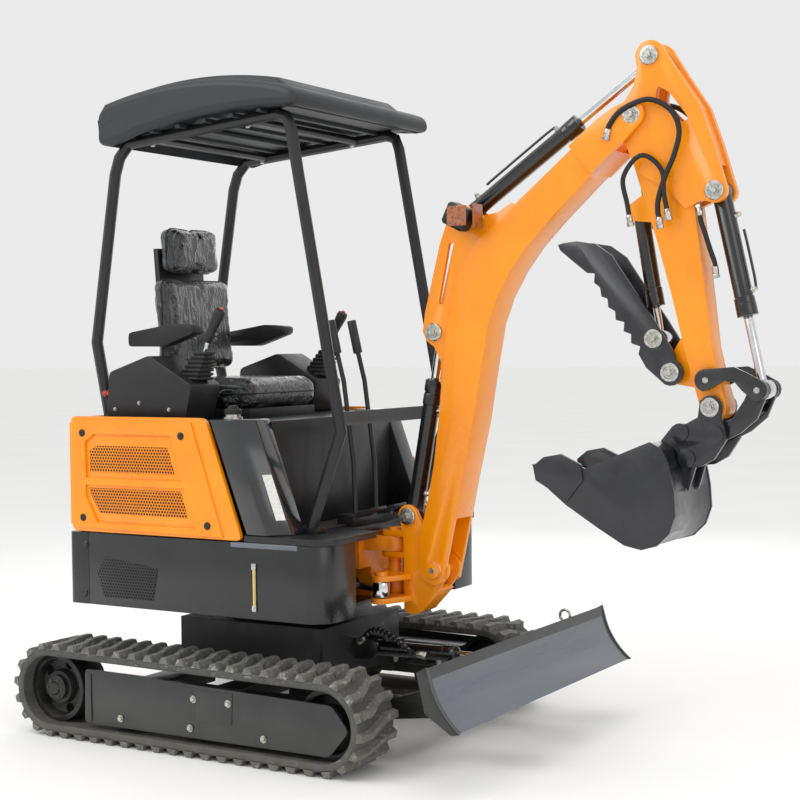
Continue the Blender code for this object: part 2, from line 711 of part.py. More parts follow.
def build_house_shell():
    half = HOUSE_WIDTH / 2
    wall = half - SKIRT_WALL - SEAT_GAP
    base = box("house_frame", (HOUSE_REAR + 0.090, -wall, SKIRT_BOTTOM),
               (NOTCH_X, wall, SKIRT_BOTTOM + FRAME_PLATE), black_paint)
    for x in (-0.06,):
        for y in (-0.30, 0.30):
            join(base, box("frame_rib", (HOUSE_REAR + 0.10, y - 0.012, SKIRT_BOTTOM + 0.01),
                           (0.30, y + 0.012, SKIRT_TOP - SEAT_GAP)))
    cut_x, cut_y = SWING_CYLINDER_BASE
    for z0, z1 in ((SKIRT_BOTTOM + 0.01, LOWER_KNUCKLE[0] - 0.002),):
        join(base, rod("swing_boss", (cut_x, cut_y, z0 - 0.005), (cut_x, cut_y, z1), 0.030))
    join(base, rod("swing_base_pin", (cut_x, cut_y, SKIRT_BOTTOM + 0.004),
                   (cut_x, cut_y, LOWER_KNUCKLE[1] + 0.010), PIN_RADIUS, PIN_SIDES))
    hang(base)

    for side, name in ((-1, "right"), (1, "left")):
        skirt = slab(name + "_skirt", skirt_outline(side), SKIRT_BOTTOM, SKIRT_TOP,
                     dark_paint)
        hang(skirt)

    weight_outline = [(HOUSE_REAR + 0.0847, -half), (HOUSE_REAR + 0.0847, half),
                      *arc((HOUSE_REAR + REAR_CORNER, half - REAR_CORNER), REAR_CORNER,
                           90, 180, 5),
                      *arc((HOUSE_REAR + REAR_CORNER, REAR_CORNER - half), REAR_CORNER,
                           180, 270, 5)]
    weight = slab("counterweight", weight_outline, SKIRT_BOTTOM, SKIRT_TOP, dark_paint)
    soften(weight, 0.006)
    hang(weight)

    floor_z = SKIRT_TOP + SEAT_GAP
    notch_x = SWING_X - 0.052
    front = HOUSE_FRONT + 0.012
    ledge = half - PANEL_WALL - SEAT_GAP
    floor = [(-0.02, ledge), (0.166, ledge), (0.166, half - 0.004), *arc((front - CORNER_RADIUS, half - 0.004 - CORNER_RADIUS),
                                         CORNER_RADIUS, 90, 0, 6),
             (front, NOTCH_HALF_WIDTH + 0.02), (notch_x, NOTCH_HALF_WIDTH - 0.03)]
    floor += [(x, -y) for x, y in reversed(floor)]
    hang(slab("floor_plate", floor, floor_z, floor_z + FLOOR_THICKNESS, dark_paint))


def build_swing_post():
    """Orange nose of the house frame with the two knuckles of the swing pin."""
    post = box("swing_post", (NOTCH_X - 0.115, -0.075, SKIRT_BOTTOM + FRAME_PLATE + SEAT_GAP),
               (NOTCH_X - 0.025, 0.120, SKIRT_TOP - SEAT_GAP), orange)
    cut(post, box("cylinder_way", (NOTCH_X - 0.15, -0.09, 0.400), (NOTCH_X, -0.005, 0.524)))
    for low, high in (LOWER_KNUCKLE, UPPER_KNUCKLE):
        outline = [(NOTCH_X - 0.06, -0.004 if low < 0.5 else -0.05),
                   *arc((SWING_X, 0), KNUCKLE_RADIUS, -75, 75, 8),
                   (NOTCH_X - 0.06, 0.075)]
        join(post, slab("knuckle", outline, low, high))
        cut(post, rod("swing_bore", (SWING_X, 0, low - 0.01), (SWING_X, 0, high + 0.01),
                      SWING_BORE_RADIUS, PIN_SIDES))
    hang(post)


def panel_outline():
    """Side panel in (x, z): upright rear edge and slanted front edge."""
    low = SKIRT_TOP + FLOOR_THICKNESS * 0 + SEAT_GAP + 0.004
    return [(HOUSE_REAR + 0.018, low), (0.160, low), (0.026, PANEL_TOP),
            (HOUSE_REAR + 0.018, PANEL_TOP)]


def build_upper_body():
    half = HOUSE_WIDTH / 2
    floor_top = SKIRT_TOP + SEAT_GAP + FLOOR_THICKNESS
    deck_low = PANEL_TOP - 0.028
    deck_top = deck_low + DECK_THICKNESS
    inner = half - PANEL_WALL - SEAT_GAP
    for side, name in ((-1, "right"), (1, "left")):
        y0, y1 = sorted((side * half, side * (half - PANEL_WALL)))
        outline = panel_outline()
        bottom = [(x, z) for x, z in outline if z < 0.8]
        panel = plate(name + "_side_panel", rounded(outline, 0.022, 3), y0, y1, orange)
        flange = sorted((side * (half - 0.045), side * (half - 0.002)))
        join(panel, box("rear_wrap", (HOUSE_REAR + 0.010, flange[0], bottom[0][1] + 0.02),
                        (HOUSE_REAR + 0.026, flange[1], PANEL_TOP - 0.02)))
        hang(panel)
        left_panel = panel
        cover = plate(name + "_cover",
                      [(0.0265 + 0.010, PANEL_TOP - 0.004), (0.172, PANEL_TOP - 0.004),
                       (0.300, floor_top + SEAT_GAP), (0.1708, floor_top + SEAT_GAP)],
                      *sorted((side * (half - 0.008), side * COVER_INNER)), dark_paint)
        slice_off(cover, (0.175, side * half, 0.84), Vector((0.62, side * 0.60, 0.22)))
        hang(cover)

    deck = box("seat_deck", (HOUSE_REAR + 0.052, -inner, deck_low),
               (0.022, inner, deck_top), dark_paint)
    box_half = COVER_INNER - SEAT_GAP
    join(deck, box("seat_box_top", (0.0, -box_half, deck_low), (0.185, box_half, deck_top)))
    join(deck, box("seat_box_front", (0.170, -box_half, floor_top + SEAT_GAP),
                   (0.185, box_half, deck_low + 0.005)))
    hang(deck)

    door_half = half - 0.047
    door = box("engine_door", (HOUSE_REAR, -door_half, SKIRT_TOP + 0.006),
               (HOUSE_REAR + 0.016, door_half, PANEL_TOP - 0.004), orange)
    soften(door, 0.003)
    hinge_x, hinge_y = HOUSE_REAR - DOOR_HINGE[0], door_half - DOOR_HINGE[1]
    for z in DOOR_HINGE_HEIGHTS:
        join(door, rod("hinge_barrel", (hinge_x, hinge_y, z - 0.030),
                       (hinge_x, hinge_y, z), 0.008, 12))
        join(door, box("hinge_leaf", (hinge_x, hinge_y - 0.030, z - 0.028),
                       (HOUSE_REAR + 0.005, hinge_y + 0.001, z - 0.002)))
        z += SEAT_GAP
        join(left_panel, rod("hinge_knuckle", (hinge_x, hinge_y, z),
                             (hinge_x, hinge_y, z + 0.022), 0.008, 12))
        join(left_panel, box("knuckle_arm", (hinge_x - 0.004, hinge_y + 0.003, z + 0.002),
                             (HOUSE_REAR + 0.016, hinge_y + 0.024, z + 0.020)))
    hang(door)

    frame_top = SKIRT_BOTTOM + FRAME_PLATE
    engine = box("engine_block", (-0.400, -0.250, frame_top + SEAT_GAP),
                 (-0.060, 0.250, 0.900), black_paint)
    hang(engine)


def build_canopy():
    """Two side hoops of tube, tied by cross bars, and the moulded roof on top."""
    deck_top = PANEL_TOP - 0.028 + DECK_THICKNESS
    floor_top = SKIRT_TOP + SEAT_GAP + FLOOR_THICKNESS
    foot_rear, foot_front = deck_top + 0.010, floor_top + 0.011
    rail = [(-0.492, foot_rear), (-0.541, 1.254), (-0.450, 1.800),
            (-0.430, 1.855), RAIL_REAR, RAIL_FRONT, (0.236, 1.932), (0.250, 1.895),
            (0.417, 0.974), (0.305, foot_front)]
    hoop = tube("canopy_frame", [(x, -POST_Y, z) for x, z in rail], POST_RADIUS, black_paint)
    join(hoop, tube("left_hoop", [(x, POST_Y, z) for x, z in rail], POST_RADIUS))
    for x, z in ((-0.300, 1.9055), (0.080, 1.9352)):
        join(hoop, tube("roof_bar", [(x, -POST_Y, z), (x, POST_Y, z)], 0.013))
    join(hoop, box("front_bar", (0.398, -POST_Y, 0.992), (0.412, POST_Y, 1.034)))
    for side in (-1, 1):
        y = side * POST_Y
        join(hoop, box("front_foot", (0.265, y - 0.024, floor_top + SEAT_GAP),
                       (0.345, y + 0.024, floor_top + 0.016)))
        join(hoop, box("rear_foot", (HOUSE_REAR + 0.054, y - 0.034, deck_top + SEAT_GAP),
                       (HOUSE_REAR + 0.100, y + 0.034, deck_top + 0.016)))
    hang(hoop)

    slope = (RAIL_FRONT[1] - RAIL_REAR[1]) / (RAIL_FRONT[0] - RAIL_REAR[0])
    lift = POST_RADIUS / math.cos(math.atan(slope))

    def ceiling(x):
        return RAIL_REAR[1] + slope * (x - RAIL_REAR[0]) + lift

    top = [(ROOF_FRONT, 1.955), (ROOF_FRONT - 0.008, 2.005), (0.245, 2.040), (0.200, 2.073),
           (0.050, 2.084), (-0.15, 2.080), (-0.33, 2.062), (ROOF_REAR + 0.020, 2.030),
           (ROOF_REAR, 1.990), (ROOF_REAR + 0.004, 1.886)]
    under = [(-0.40, 1.882), (-0.30, 1.915), (-0.10, 1.948), (0.12, 1.962), (0.28, 1.952)]
    roof = plate("canopy_roof", top + under, -ROOF_HALF_WIDTH, ROOF_HALF_WIDTH, plastic)
    soften(roof, 0.014, 50.0, 2)
    reach = ROOF_HALF_WIDTH - ROOF_WALL
    hollow = plate("roof_hollow",
                   [(ROOF_REAR + ROOF_WALL, 1.80), (ROOF_FRONT - ROOF_WALL, 1.80),
                    (ROOF_FRONT - ROOF_WALL, ceiling(ROOF_FRONT - ROOF_WALL)),
                    (ROOF_REAR + ROOF_WALL, ceiling(ROOF_REAR + ROOF_WALL))],
                   -reach, reach)
    cut(roof, hollow)
    hang(roof)


def build_seat():
    deck_top = PANEL_TOP - 0.028 + DECK_THICKNESS
    pan_top = deck_top + 0.030
    frame = box("seat_frame", (-0.415, -0.185, deck_top + SEAT_GAP),
                (SEAT_FRONT - 0.020, 0.185, pan_top),
                black_paint)
    join(frame, plate("back_plate", [(-0.422, deck_top + 0.010), (-0.402, deck_top + 0.010),
                                     (-0.4440, 1.570), (-0.4620, 1.570)], -0.120, 0.120))
    for side in (-1, 1):
        y = side * 0.255
        y0, y1 = y - 0.026, y + 0.026
        pad = [(-0.440, 1.240), (-0.300, 1.238), (-0.170, 1.280), (-0.170, 1.305),
               (-0.255, 1.312), (-0.440, 1.285)]
        join(frame, plate("armrest", rounded(pad, 0.012, 2), y0, y1))
        join(frame, box("armrest_bar", (-0.437, min(y, 0), 1.250), (-0.4235, max(y, 0), 1.275)))
    hang(frame)

    cushion = box("seat_cushion", (SEAT_FRONT - SEAT_DEPTH, -SEAT_HALF, pan_top + SEAT_GAP),
                  (SEAT_FRONT, SEAT_HALF, 1.132), vinyl)
    soften(cushion, 0.030, segments=3)
    hang(cushion)
    lean = 4.25
    back = box("seat_back", (0.0, -0.185, 0.0), (0.075, 0.185, 0.325), vinyl)
    soften(back, 0.028, segments=3)
    settle(back, (-0.4115, 1.148), lean)
    rest = box("headrest", (0.0, -0.130, 0.0), (0.080, 0.130, 0.155), vinyl)
    soften(rest, 0.028, segments=3)
    settle(rest, (-0.4365, 1.4835), lean)


def build_controls():
    deck_top = PANEL_TOP - 0.028 + DECK_THICKNESS
    floor_top = SKIRT_TOP + SEAT_GAP + FLOOR_THICKNESS
    z0 = deck_top + SEAT_GAP
    for side, name in ((-1, "right"), (1, "left")):
        y0, y1 = sorted((side * CONSOLE_INNER * 1.0, side * (CONSOLE_INNER + CONSOLE_WIDTH)))
        shift = 0.0
        outline = [(-0.415 + shift, z0), (-0.400, 1.158), (-0.235, 1.211), (-0.066, 1.117),
                   (-0.095, z0)]
        console = plate(name + "_console", rounded(outline, 0.012, 2), y0, y1, dark_paint)
        hang(console)
        middle = (y0 + y1) / 2
        base = Vector((-0.118, middle, 1.1465))
        slope = Vector((1.211 - 1.117, 0, 0.235 - 0.066)).normalized()
        stick = rod(name + "_joystick", base - slope * SEAT_GAP, base + slope * 0.072,
                    0.048, 20, rubber, end_radius=0.022)
        join(stick, rod("shaft", base + Vector((0.030, 0, 0.06)),
                        base + Vector((0.062, 0, 0.115)), 0.011, 16))
        join(stick, rod("grip", base + Vector((0.058, 0, 0.108)),
                        base + Vector((0.112, 0, 0.205)), 0.018, 16, end_radius=0.023))
        hang(stick)
    pedal = box("travel_levers", (0.268, -0.120, floor_top + SEAT_GAP),
                (0.330, 0.120, floor_top + 0.035), black_paint)
    for y in (-0.062, 0.062):
        join(pedal, tube("lever", [(0.300, y, floor_top + 0.02), (0.296, y, 0.86),
                                   (0.262, y, 1.12), (0.236, y, 1.22)], 0.008))
        join(pedal, rod("lever_grip", (0.238, y, 1.21), (0.214, y, 1.315), 0.015, 16))
        join(pedal, plate("pedal", [(0.318, floor_top + 0.02), (0.395, floor_top + 0.052),
                                    (0.392, floor_top + 0.060), (0.312, floor_top + 0.034)],
                          y - 0.038, y + 0.038))
    hang(pedal)


# ---- swing bracket ----------------------------------------------------------------------------
def build_bracket():
    foot_x, foot_z = BOOM_FOOT
    cyl = (foot_x + BOOM_CYLINDER_BASE[0], foot_z + BOOM_CYLINDER_BASE[1])
    spine_x = SWING_X + 0.056
    side_plate = [(spine_x, 0.400), (foot_x - 0.085, 0.386), (foot_x - 0.050, 0.400),
                  *arc((foot_x, foot_z), 0.044, -45, 75, 8),
                  *arc(cyl, 0.036, 10, 170, 8), (spine_x, 0.640)]
    bracket = plate("swing_bracket", side_plate, BRACKET_HALF - BRACKET_PLATE, BRACKET_HALF,
                    orange)
    join(bracket, plate("right_plate", side_plate, -BRACKET_HALF,
                        -BRACKET_HALF + BRACKET_PLATE))
    join(bracket, box("spine", (spine_x, -BRACKET_HALF, 0.400),
                      (spine_x + 0.020, BRACKET_HALF, 0.640)))
    toe = [(spine_x + 0.01, 0.400), (foot_x - 0.085, 0.386), (foot_x - 0.052, 0.399),
           (foot_x + 0.015, 0.470), (foot_x + 0.002, 0.482), (foot_x - 0.065, 0.414),
           (spine_x + 0.01, 0.414)]
    join(bracket, plate("toe_plate", toe, -BRACKET_HALF + 0.001, BRACKET_HALF - 0.001))
    gap = 0.0010
    levels = (LOWER_KNUCKLE[0] - gap - EAR_THICKNESS, LOWER_KNUCKLE[1] + gap,
              UPPER_KNUCKLE[0] - gap - EAR_THICKNESS, UPPER_KNUCKLE[1] + gap)
    lever_x, lever_y = SWING_LEVER
    for index, low in enumerate(levels):
        outline = [*arc((SWING_X, 0), KNUCKLE_RADIUS, 90, 250, 8)]
        if index < 2:
            outline += [*arc((lever_x, lever_y), 0.032, 190, 340, 8), (0.500, -0.052)]
        else:
            outline += [(spine_x + 0.015, -0.043)]
        outline += [(spine_x + 0.019, -0.030), (spine_x + 0.019, 0.043)]
        join(bracket, slab("ear", outline, low, low + EAR_THICKNESS))
    join(bracket, rod("swing_pin", (SWING_X, 0, levels[0] + 0.002),
                      (SWING_X, 0, levels[3] + EAR_THICKNESS + 0.008),
                      SWING_PIN_RADIUS, PIN_SIDES))
    join(bracket, rod("lever_stub", (lever_x, lever_y, levels[1] + 0.002),
                      (lever_x, lever_y, levels[1] + EAR_THICKNESS + 0.012), 0.020, 16))
    add_pin(bracket, BOOM_FOOT, BOOM_HALF)
    add_cross_bore_pin(bracket, cyl, 0.038)
    add_outer_heads(bracket, cyl, BRACKET_HALF)
    recentre_bracket(bracket)
    base_x, base_y = SWING_CYLINDER_BASE
    z = (LOWER_KNUCKLE[0] + LOWER_KNUCKLE[1]) / 2
    cylinder_pair("swing", (base_x, base_y, z), (lever_x, lever_y, z), 0.275, 0.011, 0.0225,
                  0.0225, pin_axis=(0, 0, 1), eye=0.027, retract=SWING_RETRACT)


def recentre_bracket(bracket):
    recentre(bracket, (SWING_X, 0, 0.5))
    hang(bracket)


# ---- boom --------------------------------------------------------------------------------------
def scaled(outline, length, drawn):
    """Stretches an outline drawn for one link length to another along the link."""
    return [(x * length / drawn, z) for x, z in outline]


def boom_point(place):
    return on_link(BOOM_FOOT, BOOM_ANGLE, place)


BOOM_DRAWN = 1.500
REAR_EDGE = [(0.060, 0.085), (0.190, 0.113), (0.300, 0.142), (0.454, 0.196),
             (0.560, 0.236), (0.700, 0.284), (0.816, 0.313), (0.900, 0.315),
             (0.985, 0.300), (1.062, 0.262), (1.198, 0.200), (1.336, 0.136)]
FRONT_EDGE = [(1.388, 0.002), (1.284, 0.048), (1.132, 0.108), (1.029, 0.143),
              (0.940, 0.161), (0.850, 0.167), (0.765, 0.159), (0.625, 0.120),
              (0.481, 0.077), (0.297, 0.034), (0.180, 0.004)]
FLANGE_EDGE = [(0.620, 0.303), (0.625, 0.335), (0.645, 0.360), (0.700, 0.378),
               (0.915, 0.423), (1.020, 0.431), (1.052, 0.414), (1.055, 0.385),
               (1.046, 0.353), (1.050, 0.320), (1.078, 0.282), (1.123, 0.250)]


def build_boom():
    tip = (BOOM_LENGTH, 0.0)
    stretch = BOOM_LENGTH / BOOM_DRAWN
    box_outline = [*arc((0, 0), 0.046, 250, 130, 8)]
    box_outline += scaled(REAR_EDGE + [(1.405, 0.104)] + FRONT_EDGE, BOOM_LENGTH, BOOM_DRAWN)
    boom = plate("boom", box_outline, -BOOM_HALF, BOOM_HALF, orange)
    slot = [(-0.08, -0.08), (0.10, -0.08), (0.235, 0.062), (0.235, 0.085), (0.19, 0.16),
            (-0.08, 0.16)]
    cut(boom, plate("foot_slot", slot, -FOOT_SLOT_HALF, FOOT_SLOT_HALF))
    end_gap = 0.092
    cut(boom, rod("arm_way", (tip[0], -0.1, 0), (tip[0], 0.1, 0), end_gap, 40))
    eye = (BOOM_CYLINDER_EYE[0] * stretch, BOOM_CYLINDER_EYE[1])
    base = (ARM_CYLINDER_BASE[0] * stretch, ARM_CYLINDER_BASE[1])
    rod_well = [(eye[0] - 0.16, eye[1] - 0.120), (eye[0] + 0.02, eye[1] - 0.085),
                (eye[0] + 0.06, eye[1] - 0.02), (eye[0] + 0.05, eye[1] + 0.15),
                (eye[0] - 0.15, eye[1] + 0.15)]
    barrel_well = [(base[0] - 0.045, base[1] - 0.045), (base[0] + 0.02, base[1] - 0.055),
                   (base[0] + 0.20, base[1] - 0.155), (base[0] + 0.30, base[1] + 0.02),
                   (base[0] - 0.045, base[1] + 0.10)]
    well_half = FLANGE_INNER + 0.001
    cut(boom, plate("rod_well", rod_well, -well_half, well_half))
    cut(boom, plate("barrel_well", barrel_well, -well_half, well_half))
    lobe = [(0.470, 0.150), (0.530, 0.235), (0.590, 0.262)]
    flange = scaled(lobe + FLANGE_EDGE + [(1.10, 0.20), (0.80, 0.20)], BOOM_LENGTH,
                    BOOM_DRAWN)
    tail = scaled([(1.328, 0.100), (1.345, 0.141)], BOOM_LENGTH, BOOM_DRAWN)
    tip_plate = tail + [(tip[0] - 0.050, 0.090), (tip[0] - 0.005, 0.060),
                        *arc(tip, 0.040, 50, -100, 8),
                        (tip[0] - 0.069, -0.017), (tip[0] - 0.200, 0.040)]
    for side in (-1, 1):
        y0, y1 = sorted((side * FLANGE_INNER, side * FLANGE_OUTER))
        join(boom, plate("flange", flange, y0, y1))
        y0, y1 = sorted((side * (BOOM_HALF - 0.0010), side * (BOOM_HALF + TIP_PLATE)))
        join(boom, plate("tip_plate", tip_plate, y0, y1))
    slot_start, slot_end = (0.755 * stretch, 0.340), (0.925 * stretch, 0.384)
    angle = math.degrees(math.atan2(slot_end[1] - slot_start[1], slot_end[0] - slot_start[0]))
    hose_slot = [*arc(slot_start, 0.009, angle + 90, angle + 270, 5),
                 *arc(slot_end, 0.009, angle - 90, angle + 90, 5)]
    cut(boom, plate("hose_slot", hose_slot, -0.08, 0.08))
    join(boom, cross_pin("arm_cylinder_pin", base, FLANGE_OUTER - 0.002, PIN_RADIUS))
    for place in (eye, base):
        add_outer_heads(boom, place, FLANGE_OUTER)
    add_bore(boom, (0, 0), BOOM_HALF)
    add_bore(boom, tip, BOOM_HALF + TIP_PLATE)
    settle(boom, BOOM_FOOT, BOOM_ANGLE)

    lamp_x = 0.985 * stretch
    lamp = box("work_light", (lamp_x, -0.122, 0.335), (lamp_x + 0.070, -0.062, 0.415),
               black_paint)
    soften(lamp, 0.008)
    join(lamp, box("lamp_bracket", (lamp_x + 0.032, -0.070, 0.316),
                   (lamp_x + 0.056, -FLANGE_OUTER - SEAT_GAP, 0.352)))
    settle(lamp, BOOM_FOOT, BOOM_ANGLE, boom)

    cyl_x = BOOM_FOOT[0] + BOOM_CYLINDER_BASE[0]
    cyl_z = BOOM_FOOT[1] + BOOM_CYLINDER_BASE[1]
    end_x, end_z = boom_point(eye)
    cylinder_pair("boom", (cyl_x, 0, cyl_z), (end_x, 0, end_z), 0.420, 0.014, 0.0265, 0.0275,
                  eye=0.034, retract=BOOM_RETRACT)
    return boom, boom_point(base)


# ---- arm ---------------------------------------------------------------------------------------
def tip_of_boom():
    return boom_point((BOOM_LENGTH, 0.0))


def arm_point(place):
    return on_link(tip_of_boom(), ARM_ANGLE, place)


def build_arm(boom, arm_cylinder_base):
    end = (ARM_LENGTH, 0.0)
    low = ARM_LENGTH - 0.865
    spar = [(0.020, -0.040), (0.118, -0.042), (0.374, -0.033), (0.532, -0.033),
            (0.706 + low, -0.038), *arc(end, 0.038, -100, 85, 8), (0.800 + low, 0.036),
            (0.700 + low, 0.040), (0.571, 0.061), (0.310, 0.100), (0.150, 0.110),
            (0.020, 0.060)]
    arm = plate("arm", spar, -ARM_HALF, ARM_HALF, orange)
    top = ARM_CYLINDER_EYE
    cheek = [*arc(top, 0.044, 250, 90, 8), (-0.064, 0.160), (0.041, 0.194), (0.150, 0.202),
             (0.235, 0.204), *arc(BUCKET_CYLINDER_BASE, 0.034, 80, -30, 6),
             (0.300, 0.128), (0.308, 0.077), (0.225, 0.030), (0.165, -0.034),
             (0.062, -0.047), (0.026, -0.050), (-0.030, -0.036), (-0.054, -0.006),
             (-0.079, 0.023), (-0.120, 0.046)]
    window = rounded([(-0.053, 0.091), (-0.025, 0.119), (0.028, 0.140), (0.068, 0.155),
                      (0.072, 0.134), (0.047, 0.110), (-0.018, 0.074)], 0.012, 2)
    lug_top = THUMB_CYLINDER_BASE
    lug = [(lug_top[0] - 0.045, -0.020), (lug_top[0] - 0.020, lug_top[1] - 0.024),
           *arc(lug_top, 0.028, 240, 350, 5), (lug_top[0] + 0.052, -0.020)]
    pivot = (THUMB_PIVOT[0] + low, THUMB_PIVOT[1])
    lug_low = [(pivot[0] - 0.110, -0.015), *arc(pivot, 0.032, 215, 345, 6),
               (pivot[0] + 0.070, -0.015)]
    join(arm, plate("thumb_lug", lug_low, -0.0360, 0.0360))
    for side in (-1, 1):
        y0, y1 = sorted((side * 0.0285, side * 0.0405))
        join(arm, plate("thumb_cylinder_lug", lug, y0, y1))
    for side in (-1, 1):
        y0, y1 = sorted((side * CHEEK_INNER, side * CHEEK_OUTER))
        join(arm, plate("cheek", cheek, y0, y1))
    web = [(-0.092, 0.143), (0.041, 0.186), (0.150, 0.194), (0.215, 0.196),
           (0.215, 0.184), (0.150, 0.182), (0.041, 0.174), (-0.088, 0.131)]
    join(arm, plate("back_web", web, -CHEEK_INNER - 0.002, CHEEK_INNER + 0.002))
    cut(arm, plate("window", window, -0.07, 0.07))
    join(arm, cross_pin("pivot_tube", (0, 0), CHEEK_OUTER + 0.005, 0.036, 28))
    rocker = (ROCKER_PIVOT[0] + low, ROCKER_PIVOT[1])
    add_outer_heads(arm, top, CHEEK_OUTER)
    join(arm, cross_pin("bucket_cylinder_pin", BUCKET_CYLINDER_BASE, CHEEK_OUTER - 0.002,
                        PIN_RADIUS))
    add_outer_heads(arm, BUCKET_CYLINDER_BASE, CHEEK_OUTER)
    join(arm, cross_pin("thumb_cylinder_pin", lug_top, 0.036, PIN_RADIUS))
    for place in ((0, 0), end, rocker, pivot):
        add_bore(arm, place, 0.08)
    settle(arm, tip_of_boom(), ARM_ANGLE)

    rod_end = arm_point(top)
    base_x, base_z = arm_cylinder_base
    cylinder_pair("arm", (base_x, 0, base_z), (rod_end[0], 0, rod_end[1]), 0.455, 0.0135,
                  0.026, 0.0245, base_parent=boom, eye=0.030, retract=ARM_RETRACT)
    return arm, rocker, pivot


# ---- bucket linkage ------------------------------------------------------------------------------
def bucket_pin():
    return arm_point((ARM_LENGTH, 0.0))


def build_linkage(arm, rocker):
    """Rocker plates, link, hitch, bucket and their cylinder."""
    hx, hz = bucket_pin()
    pivot = arm_point(rocker)
    eye = (hx + ROCKER_EYE[0], hz + ROCKER_EYE[1])
    link_pin = (hx + LINK_PIN[0], hz + LINK_PIN[1])

    reach = math.dist(pivot, eye)
    outline = [*arc((0, 0), 0.032, 270, 110, 8), (0.030, 0.040), (0.075, 0.052),
               (0.115, 0.042), *arc((reach, 0), 0.030, 80, -100, 8), (0.108, -0.008),
               (0.085, 0.010), (0.055, 0.008), (0.030, -0.012)]
    plates = plate("bucket_rocker", outline, 0.0545, 0.0660, black_paint)
    join(plates, plate("right_rocker", outline, -0.0660, -0.0545))
    join(plates, cross_pin("rocker_pin", (0, 0), 0.0600, PIN_RADIUS))
    for side in (-1, 1):
        join(plates, rod("link_stub", (reach, side * 0.0345, 0), (reach, side * 0.0600, 0),
                         PIN_RADIUS, PIN_SIDES))
    angle = math.degrees(math.atan2(eye[1] - pivot[1], eye[0] - pivot[0]))
    settle(plates, pivot, angle)

    span = math.dist(eye, link_pin)
    back = [*arc((0, 0), 0.029, 90, 260, 8), (0.050, -0.012 + 0.002), (0.110, 0.000),
            (span - 0.02, -0.024), *arc((span, 0), 0.027, -60, 80, 6), (0.120, 0.046),
            (0.060, 0.052)]
    link = plate("bucket_link", back, 0.0375, 0.0495, black_paint)
    join(link, plate("right_link", back, -0.0495, -0.0375))
    bridge = [(0.050, 0.040), (0.115, 0.036), (0.115, 0.020), (0.050, 0.022)]
    join(link, plate("link_bridge", bridge, -0.040, 0.040))
    add_bore(link, (0, 0), 0.05)
    turn = math.degrees(math.atan2(link_pin[1] - eye[1], link_pin[0] - eye[0]))
    settle(link, eye, turn)

    build_hitch_and_bucket((hx, hz), link_pin)
    base = arm_point(BUCKET_CYLINDER_BASE)
    cylinder_pair("bucket", (base[0], 0, base[1]), (eye[0], 0, eye[1]), 0.345, 0.0135, 0.027,
                  0.0255, base_parent=arm, eye=0.029, retract=BUCKET_RETRACT)


def build_hitch_and_bucket(pin, link_pin):
    hx, hz = pin
    outline = [(-0.030, 0.020), (-0.037, -0.028), (-0.070, -0.046), (-0.104, -0.060),
               (-0.112, -0.085), (-0.098, -0.110), (-0.094, -0.150), (-0.070, -0.172),
               (-0.030, -0.168), (0.010, -0.145), (0.046, -0.090), (0.040, -0.055),
               (0.030, -0.030), *arc((0, 0), 0.034, 0, 150, 6)]
    hitch = plate("quick_hitch", outline, HITCH_INNER, HITCH_OUTER, black_paint)
    join(hitch, plate("right_hitch", outline, -HITCH_OUTER, -HITCH_INNER))
    join(hitch, cross_pin("bucket_pin", (0, 0), HITCH_OUTER - 0.003, PIN_RADIUS))
    add_outer_heads(hitch, (0, 0), HITCH_OUTER)
    add_outer_heads(hitch, LINK_PIN, HITCH_OUTER)
    for place in HITCH_PINS:
        join(hitch, cross_pin("ear_pin", place, HITCH_OUTER - 0.003, 0.0150))
        add_outer_heads(hitch, place, HITCH_OUTER)
    settle(hitch, pin)

    top = (-0.112, -0.118)
    shell = [(-0.150, -0.098), (-0.112, -0.118), (-0.094, -0.160), (-0.080, -0.235),
             (-0.076, -0.300), (-0.094, -0.350), (-0.130, -0.385), (-0.175, -0.398),
             (-0.225, -0.388), (-0.300, -0.345), (-0.405, -0.280), (-0.455, -0.240)]
    skin = bucket_skin(shell)
    bucket = plate("bucket", skin, -BUCKET_HALF + 0.004, BUCKET_HALF - 0.004, black_paint)
    side_outline = offset_line(shell, -0.003) + [(-0.492, -0.208), (-0.478, -0.162), (-0.425, -0.146),
                            (-0.345, -0.176), (-0.200, -0.116)]
    for side in (-1, 1):
        y0, y1 = sorted((side * BUCKET_HALF, side * (BUCKET_HALF - BUCKET_WALL)))
        join(bucket, plate("bucket_side", side_outline, y0, y1))
        cutter = [(-0.398, -0.270), (-0.498, -0.213), (-0.506, -0.172), (-0.472, -0.145),
                  (-0.418, -0.135), (-0.356, -0.164), (-0.348, -0.208)]
        y0, y1 = sorted((side * (BUCKET_HALF - 0.004), side * (BUCKET_HALF + 0.010)))
        join(bucket, plate("side_cutter", cutter, y0, y1))
        y0, y1 = sorted((side * BUCKET_EAR_INNER, side * BUCKET_EAR_OUTER))
        p1, p2 = HITCH_PINS
        ear = [(-0.160, -0.104), (-0.120, -0.055), *arc(p1, 0.024, 150, 30, 6),
               (-0.045, -0.130), *arc(p2, 0.026, 30, -40, 4), (-0.074, -0.240),
               (-0.086, -0.220), (-0.120, -0.125)]
        join(bucket, plate("bucket_ear", ear, y0, y1))
    tooth = [(-0.420, -0.262), (-0.455, -0.243), (-0.528, -0.170), (-0.470, -0.205),
             (-0.415, -0.250)]
    for y in (-0.105, 0.0, 0.105):
        join(bucket, plate("tooth", tooth, y - 0.020, y + 0.020))
    for place in HITCH_PINS:
        add_bore(bucket, place, 0.060, 0.0154)
    settle(bucket, pin)


